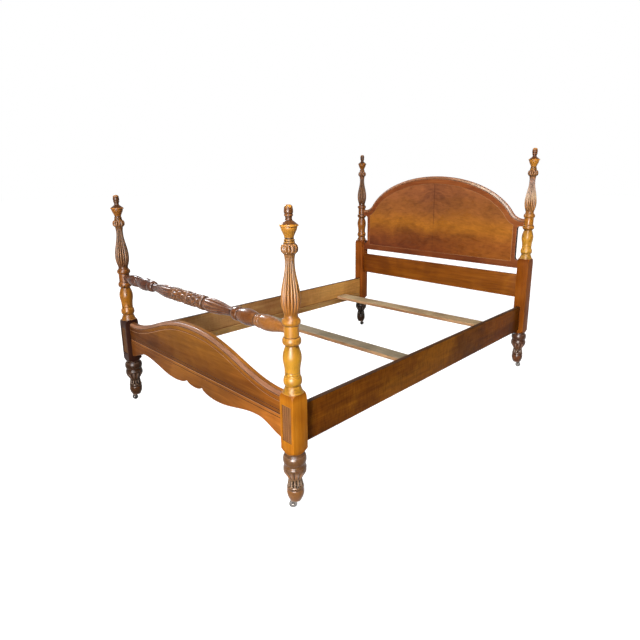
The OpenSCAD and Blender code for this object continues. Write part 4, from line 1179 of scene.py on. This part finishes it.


# Painted cold reflection on the flutes of the foot's bell: more green and much more blue.
BELL_PAINTED_SHEEN = (1.5, 2.2, 4.6)
GOLD = (srgb(196, 124, 30), srgb(214, 146, 42), srgb(226, 164, 60))
# The painted sheen, the bluer shaft tops and the blue of the head right post's vases are painted cold sky
# reflection.
POST_TINTS = {
    ("foot", "right"): dict(foot=(0.20, 0.17, 0.38), vases=(0.90, 0.90, 0.58), hub=(0.90, 0.86, 0.82),
                            shaft=(0.70, 0.60, 0.70), painted_sheen=(0.64, 0.60, 1.00), shaft_top=(0.44, 0.42, 1.10),
                            collar=(0.42, 0.36, 0.70)),
    ("foot", "left"): dict(foot=(0.05, 0.038, 0.07), vases=(0.52, 0.43, 0.28), hub=(0.40, 0.30, 0.32),
                           shaft=(0.23, 0.18, 0.34), painted_sheen=(0.22, 0.18, 0.40), shaft_top=(0.17, 0.14, 0.34),
                           collar=(0.28, 0.21, 0.30)),
    ("head", "right"): dict(foot=(0.10, 0.065, 0.12), vases=(0.88, 0.92, 1.10), hub=(0.72, 0.62, 0.66),
                            shaft=(0.60, 0.55, 1.40), painted_sheen=(0.96, 1.50, 10.5), shaft_top=(0.52, 0.62, 4.20),
                            collar=(0.38, 0.31, 0.50)),
    ("head", "left"): dict(foot=(0.02, 0.015, 0.025), vases=(0.40, 0.29, 0.28), hub=(0.32, 0.23, 0.25),
                           shaft=(0.19, 0.14, 0.28), painted_sheen=(0.20, 0.16, 0.42), shaft_top=(0.15, 0.12, 0.34),
                           collar=(0.25, 0.18, 0.26)),
}
FINIAL_TINTS = {
    ("foot", "right"): ((0.82, 0.76, 0.76), (0.20, 0.15, 0.30)),
    ("foot", "left"): ((0.46, 0.36, 0.38), (0.11, 0.08, 0.15)),
    ("head", "right"): ((0.76, 0.66, 0.66), (0.18, 0.12, 0.20)),
    ("head", "left"): ((0.36, 0.27, 0.29), (0.09, 0.065, 0.11)),
}
# Paler amber on the turnings' arrises and reed crests: partly rubbed wear, partly painted highlight.
RUBBED_AND_HIGHLIGHT = srgb(228, 172, 118)
# Greyish lavender painted highlight on the arrises of the feet.
POLISHED_HIGHLIGHT = srgb(198, 168, 148)
BLOCK_WOODS = {
    ("foot", "right"): (srgb(167, 95, 13), srgb(201, 122, 25), srgb(222, 148, 45)),
    ("foot", "left"): (srgb(41, 21, 13), srgb(54, 29, 20), srgb(74, 42, 27)),
    ("head", "right"): (srgb(112, 54, 9), srgb(140, 73, 14), srgb(162, 92, 27)),
    ("head", "left"): (srgb(118, 58, 16), srgb(146, 76, 24), srgb(166, 94, 36)),
}
FOOT_SHINE = {"left": 0.07, "right": 0.16}
PANEL_COLOURS = ((116, 69, 32), (138, 87, 43), (157, 104, 60))
PANEL_TONE = {"left": 0.7, "right": 1.0}

# %% Dress the posts and finials
SEAM_GAP = 0.5 * MM


def on_block(end):
    """Faces of the square block, found by their height."""
    low, high = BLOCK_LOW * MM + SEAM_GAP, BLOCK_TOP[end] * MM - SEAM_GAP
    return lambda face: low < face.calc_center_median().z < high


def below_block(face):
    """Faces of the turned foot."""
    return face.calc_center_median().z < BLOCK_LOW * MM - SEAM_GAP


def on_sunk_panel(face):
    """The sunk panel's floor and its flutes."""
    centre = face.calc_center_median()
    floor_y = POST_CENTRES["foot", "right"].y + (SUNK_DEPTH - BLOCK_W / 2) * MM
    within_w = abs(abs(centre.x) - POST_X * MM) < SUNK_W / 2 * MM
    within_h = abs(centre.z - PANEL_Z) < SUNK_H / 2 * MM
    return within_w and within_h and floor_y - 0.1 * MM < centre.y < floor_y + (FLUTE_DEPTH + 0.5) * MM


def darker_block_ends(end):
    """Tints of a block: darker where it meets the turnings."""
    block_h = BLOCK_TOP[end] - BLOCK_LOW
    return tint_along("Z", BLOCK_LOW * MM, BLOCK_TOP[end] * MM, [
        (0, (0.66, 0.56, 0.52)), (18, (0.96, 0.94, 0.94)), (block_h - 30, (1.0, 1.0, 1.0)),
        (block_h, (0.62, 0.52, 0.48)),
    ])


for number, ((end, side), post) in enumerate(posts.items()):
    tints = [post_tint(end, **POST_TINTS[end, side])]
    turned_wood = wood(f"turned_post_{end}_{side}", *GOLD, "Z", seed=number + 1.0, turned=True, shine=0.1,
                       gloss=0.3, tints=tints, arris_share=0.3, worn=RUBBED_AND_HIGHLIGHT)
    foot_wood = wood(f"polished_foot_{end}_{side}", *GOLD, "Z", seed=number + 1.0, turned=True,
                     shine=FOOT_SHINE[side], gloss=0.26, tints=tints, worn=POLISHED_HIGHLIGHT, grime_and_shade=1.0)
    block_wood = wood(f"post_block_{end}_{side}", *BLOCK_WOODS[end, side], "Z", seed=number + 11.0,
                      shine=0.025, tints=[darker_block_ends(end)])
    dress(post, turned_wood, BODY, f"{end}_post_{side}")
    print(f"{end} {side} foot faces:", second_finish(post, foot_wood, below_block))
    print(f"{end} {side} block faces:", second_finish(post, block_wood, on_block(end)))
    if end == "foot":
        colours = [srgb(*toned(colour, PANEL_TONE[side])) for colour in PANEL_COLOURS]
        dulled = wood(f"dulled_panel_{side}", *colours, "Z", seed=number + 21.0, shine=0.06, gloss=0.5,
                      figure=90.0, grime_and_shade=0.6)
        print("sunk panel faces:", second_finish(post, dulled, on_sunk_panel))
for number, ((end, side), piece) in enumerate(finials.items()):
    finial_wood = wood(f"turned_finial_{end}_{side}", *GOLD, "Z", seed=number + 6.0, turned=True, shine=0.1,
                       gloss=0.3, tints=[finial_tint(end, *FINIAL_TINTS[end, side])], arris_share=0.25, worn=RUBBED_AND_HIGHLIGHT)
    dress(piece, finial_wood, BODY, f"{end}_finial_{side}")

# %% [markdown]
# ## Finish of the boards and rails
# The boards are browner than the turnings. The headboard has a plain reddish border, a thin pale line and
# two leaves cut from the crotch of a tree, laid like the pages of an open book. To match them, the pattern
# reads the distance from the seam instead of the place, so both sides show the same plume in mirror image.
# Over that lie the things that do not mirror: the bands of colour that follow the height, and a darker
# corner at the lower left.
#
# No board is one colour from end to end, so ramps along the length and the height tint them; the dark band
# across the middle of the footboard is painted shade. The moulded edges are painted paler, with a painted
# highlight that grows bluer towards the right; the quirks, the cut lines and the walls of the slots are
# painted nearly black as the shade in them; and the side rails are dark outside and on top but bare,
# yellowish wood inside.

# %% Crotch veneer
VENEER_COLOURS = (
    (0.02, srgb(101, 44, 18)), (0.20, srgb(124, 64, 24)), (0.40, srgb(167, 101, 31)),
    (0.62, srgb(149, 88, 41)), (0.80, srgb(147, 86, 46)), (0.95, srgb(150, 88, 46)),
)


def swing(tree, pattern, reach):
    """Moves by up to half of reach to either side, as the pattern has it."""
    return times(tree, math_node(tree, "SUBTRACT", pattern, 0.5), reach)


def crotch_veneer():
    made, tree, shader = new_finish("crotch_leaves")
    low = HEAD_LOW * MM
    x, y, z = (split(tree)[axis] for axis in "XYZ")
    from_seam = math_node(tree, "ABSOLUTE", x)
    book = add(tree, "CombineXYZ")
    tree.links.new(from_seam, book.inputs["X"])
    tree.links.new(z, book.inputs["Z"])
    matched = book.outputs["Vector"]
    feathers = noise(tree, slanted(tree, (1.9, 1, 1.0), 0.35, matched), 13, 5, 0.55, 0.9)
    fibres = noise(tree, slanted(tree, (8.0, 1, 1.0), 0.16, matched), 110, 4, 0.6, 0.4)
    clouds = noise(tree, pattern_space(tree, (0.8, 1, 1.5), at=(0.37, 0, 0.2)), 5.5, 4, 0.55, 0.6)
    mottles = noise(tree, pattern_space(tree, (0.7, 1, 1.4), at=(0.1, 0, 0.6)), 34, 5, 0.6, 0.5)
    level = math_node(tree, "ADD", z, swing(tree, clouds, 0.15))
    rise = between(tree, level, low, low + 0.60)
    colour = ramp(tree, rise, *VENEER_COLOURS)
    warm_right = times(tree, between(tree, x, 0.05, 0.40), between(tree, rise, 0.40, 0.10))
    colour = mix(tree, times(tree, warm_right, 0.65), colour, srgb(166, 96, 34))
    from_plume = math_node(tree, "ADD", from_seam, swing(tree, feathers, 0.34))
    near_seam = between(tree, from_plume, 0.0, 0.28, 1.0, 0.0)
    up_high = between(tree, level, low + 0.22, low + 0.42)
    plume = times(tree, times(tree, near_seam, up_high), 0.50)
    colour = mix(tree, plume, colour, srgb(112, 62, 42))
    low_left = times(tree, between(tree, x, -0.10, -0.50), between(tree, level, low + 0.30, low + 0.08))
    colour = mix(tree, times(tree, low_left, 0.45), colour, srgb(112, 56, 30))
    for pattern, share, dark, light in ((feathers, 0.42, 0.66, 1.24), (clouds, 0.45, 0.70, 1.22),
                                        (mottles, 0.55, 0.70, 1.22)):
        shade = ramp(tree, pattern, (0.34, dark), (0.50, 1.0), (0.66, light))
        colour = mix(tree, share, colour, shade, "MULTIPLY")
    colour = mix(tree, 0.40, colour, ramp(tree, fibres, (0.34, 0.70), (0.56, 1.06)), "MULTIPLY")
    seam_line = times(tree, between(tree, from_seam, 0.0008, 0.0040, 0.6, 0.0),
                      between(tree, z, low + 0.10, low + 0.34, 0.25, 1.0))
    colour = mix(tree, seam_line, colour, srgb(66, 34, 18))
    tree.links.new(colour, shader.inputs["Base Color"])
    tree.links.new(between(tree, clouds, 0.3, 0.7, 0.24, 0.38), shader.inputs["Roughness"])
    shader.inputs["Specular IOR Level"].default_value = 0.08
    return made


# %% Dress the boards and rails
HALF_WIDTH = 0.67
HALF_LENGTH = 0.98


def across_bed(*marks):
    """Tints a board from the left post, where a mark's place is 0, to the right one."""
    return tint_along("X", -HALF_WIDTH, HALF_WIDTH, marks)


def along_bed(*marks):
    """Tints a rail from the foot, where a mark's place is 0, to the head."""
    return tint_along("Y", -HALF_LENGTH, HALF_LENGTH, marks)


# Darker towards the bottom and lighter at the top; the dark band from 110 to 180 mm is painted shade.
foot_heights_and_shade = tint_along("Z", 0.28, 0.62, [
    (0, (0.76, 0.72, 0.82)), (92, (0.86, 0.83, 0.90)), (104, (0.86, 0.83, 0.90)),
    (110, (0.44, 0.38, 0.38)), (126, (0.45, 0.41, 0.40)), (180, (0.57, 0.53, 0.48)),
    (235, (0.87, 0.92, 0.84)), (300, (0.95, 0.99, 0.92)),
])
foot_lengths = across_bed(
    (0, (0.85, 0.80, 0.92)), (170, (1.08, 1.06, 1.15)), (520, (0.95, 0.98, 1.04)), (900, (1.25, 1.28, 1.22)),
    (1340, (2.40, 2.30, 2.10)),
)
head_heights = tint_along("Z", HEAD_LOW * MM, HEAD_LOW * MM + 0.6, [
    (0, (0.60, 0.52, 0.50)), (38, (0.70, 0.62, 0.60)), (70, (0.95, 0.92, 0.92)), (600, (1.05, 1.05, 1.05)),
])
string_lengths = across_bed(
    (0, (0.62, 0.52, 0.50)), (700, (0.55, 0.48, 0.46)), (1050, (0.90, 0.88, 0.88)),
    (1340, (0.95, 0.95, 0.95)),
)
head_rail_lengths = across_bed((0, (0.82, 0.72, 0.66)), (420, (1.0, 1.0, 1.0)), (1340, (1.0, 1.0, 1.0)))
PALE = (srgb(160, 104, 62), srgb(182, 124, 78), srgb(200, 146, 96))

border_wood = wood("headboard_border", srgb(112, 54, 22), srgb(142, 76, 34), srgb(168, 98, 46), "X", seed=3.0,
                   shine=0.08, worn=srgb(206, 146, 110), tints=[head_heights])
string_wood = wood("stringing", *PALE, "X", seed=1.0, grime_and_shade=0.3, arris_share=0.0, tints=[string_lengths])
head_rail_wood = wood("lower_head_rail", srgb(102, 51, 10), srgb(136, 74, 16), srgb(169, 101, 29), "X",
                      seed=5.0, worn=srgb(80, 42, 16), tints=[head_rail_lengths])
footboard_wood = wood("footboard", srgb(102, 58, 22), srgb(140, 84, 30), srgb(178, 112, 42), "X", seed=4.0,
                      shine=0.015, worn=srgb(150, 100, 62), tints=[foot_heights_and_shade, foot_lengths])
dress(veneer, crotch_veneer(), BODY, "headboard_veneer")
dress(headboard, border_wood, BODY, "headboard_panel")
dress(stringing, string_wood, BODY, "headboard_stringing")
dress(head_rail, head_rail_wood, BODY, "head_rail")
dress(footboard, footboard_wood, BODY, "footboard_panel")
print("boards dressed")

# %% Finish the mouldings, the lines and the slots
# Painted shade: nearly black for the quirks, the cut lines and the slot walls.
painted_shade_line = wood("painted_shade_line", srgb(50, 26, 12), srgb(62, 32, 16), srgb(76, 40, 20), "X", seed=2.0, arris_share=0.0)
pale_line = wood("pale_line", *PALE, "X", seed=1.0, grime_and_shade=0.3, arris_share=0.0)
# Painted highlight on the moulded edges: paler and bluer towards the right, strongest on the headboard's
# right slope.
EDGE_HIGHLIGHTS = {
    "headboard": across_bed((0, (0.95, 1.0, 1.1)), (760, (0.95, 1.0, 1.1)), (1000, (1.38, 2.2, 3.6)),
                            (1220, (1.48, 2.7, 5.2)), (1340, (0.9, 0.9, 1.0))),
    "footboard": across_bed((0, (0.76, 0.80, 0.95)), (500, (0.90, 1.06, 1.40)), (900, (1.00, 1.20, 1.65)),
                            (1340, (1.05, 1.12, 1.35))),
}


def on_ovolo(front):
    """Faces of the moulded edge, which turn away from the front and lie behind it."""
    low, high = front + QUIRK * MM, front + EDGE_W * MM
    return lambda face: low < face.calc_center_median().y < high and face.normal.y < -0.05


def line_floor(depth, front=FOOT_FRONT):
    """Faces on the floor of the lines of one depth."""
    floor_y = front + depth * MM
    return lambda face: abs(face.calc_center_median().y - floor_y) < 0.05 * MM and faces_front(face)


def in_slot(face):
    """The walls of the slots between the headboard's panel and the posts."""
    centre = face.calc_center_median()
    beside_panel = PANEL_X - 1 < abs(centre.x) / MM < INNER_X - 1 and centre.z < (EAR_TOP - 20) * MM
    return beside_panel and abs(face.normal.y) < 0.3


for piece, front in ((headboard, HEAD_FRONT), (footboard, FOOT_FRONT)):
    tints = [EDGE_HIGHLIGHTS[piece.name]]
    # The moulded edge is painted paler than the board, as a painted highlight.
    edge_highlight_wood = wood(f"{piece.name}_edge", srgb(128, 76, 42), srgb(156, 100, 62), srgb(184, 126, 84), "X",
                     seed=7.0, shine=0.12, gloss=0.35, worn=srgb(206, 150, 112), tints=tints)
    print("moulded edge:", second_finish(piece, edge_highlight_wood, on_ovolo(front)))
    print("quirk:", second_finish(piece, painted_shade_line, line_floor(QUIRK_DEPTH, front)))
# The slot walls are painted nearly black as shade.
print("slot walls:", second_finish(headboard, painted_shade_line, in_slot))
print("dark lines:", second_finish(footboard, painted_shade_line, line_floor(LINE_DEPTH)))
print("pale lines:", second_finish(footboard, pale_line, line_floor(PALE_DEPTH)))

# %% Dress the rails and slats
# The bluer tint along most of the rail is a painted cold sky reflection, and the lighter right vase carries a
# painted highlight.
blanket_tone_and_sheen = tint_along("X", -0.68, 0.68, [
    (0, (0.36, 0.34, 0.64)), (320, (0.40, 0.41, 0.86)), (350, (0.44, 0.49, 1.30)),
    (520, (0.46, 0.48, 1.05)), (550, (0.58, 0.64, 0.94)), (810, (0.58, 0.64, 0.94)),
    (840, (0.56, 0.60, 1.10)), (1015, (0.64, 0.70, 1.25)), (1035, (0.68, 0.71, 0.58)),
    (1165, (0.74, 0.75, 0.60)), (1185, (1.24, 1.58, 1.75)), (1360, (1.48, 1.78, 1.85)),
])
rail_lengths = along_bed(
    (0, (0.60, 0.52, 0.50)), (60, (1.20, 1.10, 0.88)), (700, (1.22, 1.22, 1.00)), (1250, (1.16, 1.16, 1.00)),
    (1700, (1.06, 0.80, 0.22)), (1960, (0.62, 0.55, 0.50)),
)
inner_lengths = along_bed((0, (0.90, 1.00, 1.70)), (900, (1.10, 1.20, 1.95)), (1960, (1.90, 2.10, 2.40)))
blanket_wood = wood("blanket_rail", srgb(90, 42, 15), srgb(124, 66, 25), srgb(160, 98, 42), "X", seed=2.0,
                    turned=True, shine=0.13, gloss=0.24, arris_share=0.3, worn=srgb(220, 166, 122), grime_and_shade=0.8,
                    tints=[blanket_tone_and_sheen])
outer_wood = wood("side_rail_outside", srgb(68, 36, 8), srgb(108, 60, 12), srgb(142, 86, 22), "Y", seed=3.0,
                  shine=0.015, worn=srgb(44, 26, 14), ripple=0.45, tints=[rail_lengths])
inner_wood = wood("side_rail_inside", srgb(124, 78, 34), srgb(152, 102, 46), srgb(178, 128, 62), "Y",
                  seed=8.0, gloss=0.45, worn=srgb(90, 56, 28), ripple=0.2, tints=[inner_lengths])
rail_top = wood("side_rail_top", srgb(50, 28, 12), srgb(70, 42, 18), srgb(92, 60, 30), "Y", seed=5.0)
dress(rail, blanket_wood, BODY, "blanket_rail")
for side, piece in side_rails.items():
    dress(piece, outer_wood, BODY, f"side_rail_{side}")
    towards_bed = -SIDES[side]
    inner_count = second_finish(piece, inner_wood, lambda face: face.normal.x * towards_bed > 0.7)
    top_count = second_finish(piece, rail_top, lambda face: face.normal.z > 0.7)
    print(side, "inner faces:", inner_count, "top faces:", top_count)

SAWN = {
    "slat_foot": (srgb(106, 94, 73), srgb(140, 126, 101), srgb(175, 158, 133)),
    "slat_head": (srgb(152, 126, 90), srgb(194, 168, 128), srgb(228, 206, 168)),
}
sawn_edge = wood("slat_edge", srgb(150, 106, 70), srgb(175, 131, 92), srgb(197, 155, 113), "X", seed=9.0,
                 gloss=0.6, arris_share=0.2)
for node, piece in slats.items():
    sawn_face = wood(f"sawn_{node}", *SAWN[node], "X", seed=4.0, gloss=0.62, arris_share=0.2, figure=70.0,
                     pore_depth=0.5)
    dress(piece, sawn_face, node, node)
    second_finish(piece, sawn_edge, lambda face: abs(face.normal.z) < 0.5)

# %% [markdown]
# ## Metal and small parts
# The casters, the hooks and their pins, the ledgers and the screws keep the shapes of the frame, because
# those are right already. They only need finishes. The casters are dull zinc with a grey tread, but the
# forks and treads on the left are black, and so are the hooks.

# %% Dress the frame's own parts
def metal(name, dark, light, roughness, metallic=1.0, shine=0.5):
    """Metal or hard tread with a spotted tarnish."""
    made, tree, shader = new_finish(name)
    spots = noise(tree, pattern_space(tree), 60.0, 6, 0.65)
    tree.links.new(ramp(tree, spots, (0.35, dark), (0.62, light)), shader.inputs["Base Color"])
    tarnished = between(tree, spots, 0.3, 0.7, roughness + 0.15, roughness - 0.08)
    tree.links.new(tarnished, shader.inputs["Roughness"])
    bump(tree, shader, spots, strength=0.3, distance=0.0003)
    shader.inputs["Metallic"].default_value = metallic
    shader.inputs["Specular IOR Level"].default_value = shine
    return made


def dress_node(name, finish):
    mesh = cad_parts[name].data
    mesh.materials.clear()
    mesh.materials.append(finish)


zinc = metal("dull_zinc", srgb(40, 37, 36), srgb(78, 74, 70), 0.5)
steel_pin = metal("steel_pin", srgb(96, 92, 88), srgb(146, 142, 138), 0.42)
black_iron = metal("black_iron", srgb(34, 30, 28), srgb(64, 58, 54), 0.5)
dull_screw = metal("dull_screw", srgb(96, 86, 70), srgb(140, 128, 104), 0.45)
grey_tread = metal("grey_tread", srgb(80, 76, 73), srgb(122, 116, 111), 0.5, metallic=0.0, shine=0.3)
black_tread = metal("black_tread", srgb(22, 20, 19), srgb(44, 40, 38), 0.5, metallic=0.0, shine=0.08)
ledger_wood = wood("ledger_strip", srgb(140, 98, 52), srgb(166, 122, 68), srgb(186, 144, 88), "Y", seed=6.0,
                   gloss=0.5)
FINISHES = {
    "caster_socket": zinc, "caster_axle": steel_pin, "caster_fork": zinc, "caster_wheel": grey_tread,
    "hook_plates": black_iron, "hook_pins": steel_pin, "ledger_screws": dull_screw,
    "ledger_left": ledger_wood, "ledger_right": ledger_wood,
}
BLACK_ON_LEFT = {"caster_fork": black_iron, "caster_wheel": black_tread}
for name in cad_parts:
    kind = name.split("_head_")[0].split("_foot_")[0]
    finish = FINISHES.get(kind)
    if name.endswith("_left"):
        finish = BLACK_ON_LEFT.get(kind, finish)
    if finish:
        dress_node(name, finish)
print("small parts dressed")

# %% [markdown]
# ## Floor and light
# The background is a plain white studio. The floor is pale and keeps the soft shadow of the bedstead; what
# the camera and the reflections see of it is lifted to white with emission, which the rays that light the
# wood do not see. The floor has no shine, because it would throw the lamps back up at the wood.
#
# Two lamps light the wood: a strong one in front, from high up, and a fainter one behind that shows in no
# gloss. Three more only show in the gloss and light nothing. A turning needs a lamp where its curve throws
# the eye, so one stands low in front for the posts, one high in front for mouldings, and one on the left
# for the blanket rail.

# %% Studio
def seen_directly(tree):
    """1 for camera, mirror and glass rays, 0 for the rays that light the wood."""
    path = add(tree, "LightPath")
    shiny = math_node(tree, "MAXIMUM", path.outputs["Is Glossy Ray"], path.outputs["Is Transmission Ray"])
    return math_node(tree, "MAXIMUM", path.outputs["Is Camera Ray"], shiny)


def studio_floor(size):
    deselect_all()
    bpy.ops.mesh.primitive_plane_add(size=size, location=(0, 0, 0))
    floor = named("studio_floor")
    made, tree, shader = new_finish("white_floor")
    shader.inputs["Base Color"].default_value = (0.42, 0.42, 0.42, 1)
    shader.inputs["Roughness"].default_value = 0.9
    shader.inputs["Specular IOR Level"].default_value = 0.0
    shader.inputs["Emission Color"].default_value = (1, 1, 1, 1)
    tree.links.new(times(tree, seen_directly(tree), 0.95), shader.inputs["Emission Strength"])
    floor.data.materials.append(made)


def studio_world(strength):
    world = bpy.data.worlds.new("studio")
    bpy.context.scene.world = world
    world.use_nodes = True
    tree = world.node_tree
    sky = tree.nodes["Background"]
    sky.inputs["Color"].default_value = (1, 0.99, 0.975, 1)
    sky.inputs["Strength"].default_value = strength
    white = add(tree, "Background")
    white.inputs["Color"].default_value = (1, 1, 1, 1)
    chosen = add(tree, "MixShader")
    tree.links.new(seen_directly(tree), chosen.inputs["Fac"])
    tree.links.new(sky.outputs["Background"], chosen.inputs[1])
    tree.links.new(white.outputs["Background"], chosen.inputs[2])
    tree.links.new(chosen.outputs["Shader"], tree.nodes["World Output"].inputs["Surface"])


def lamp(name, at, towards, size, power, colour=(1, 1, 1), spreads=True, mirrored=True):
    """A square soft lamp that faces a point. It may light the wood, or show in its gloss, or do both."""
    direction = (Vector(towards) - Vector(at)).normalized()
    turn = direction.to_track_quat("-Z", "Y").to_euler()
    bpy.ops.object.light_add(type="AREA", location=at, rotation=turn)
    made = bpy.context.object
    made.name = name
    made.data.size = size
    made.data.energy = power
    made.data.color = colour
    made.visible_diffuse = spreads
    made.visible_glossy = mirrored


studio_floor(size=60)
studio_world(strength=0.14)
lamp("sky_front", at=(4.9, -9.0, 7.2), towards=(0, 0, 0.6), size=1.8, power=1760)
lamp("sky_behind", at=(-4.2, 5.6, 7.0), towards=(0, 0, 0.5), size=2.2, power=260,
     colour=(0.94, 0.97, 1.0), mirrored=False)
lamp("gloss_front", at=(2.35, -3.95, 1.0), towards=(0.5, -0.7, 0.8), size=1.7, power=1300,
     colour=(1.0, 0.96, 0.93), spreads=False)
lamp("gloss_left", at=(-5.9, 0.5, 4.1), towards=(0, -1.0, 0.74), size=1.1, power=420,
     colour=(0.90, 0.94, 1.0), spreads=False)
lamp("gloss_above", at=(3.0, -4.0, 7.0), towards=(0, 0, 0.6), size=3.0, power=2600,
     colour=(0.82, 0.89, 1.0), spreads=False)
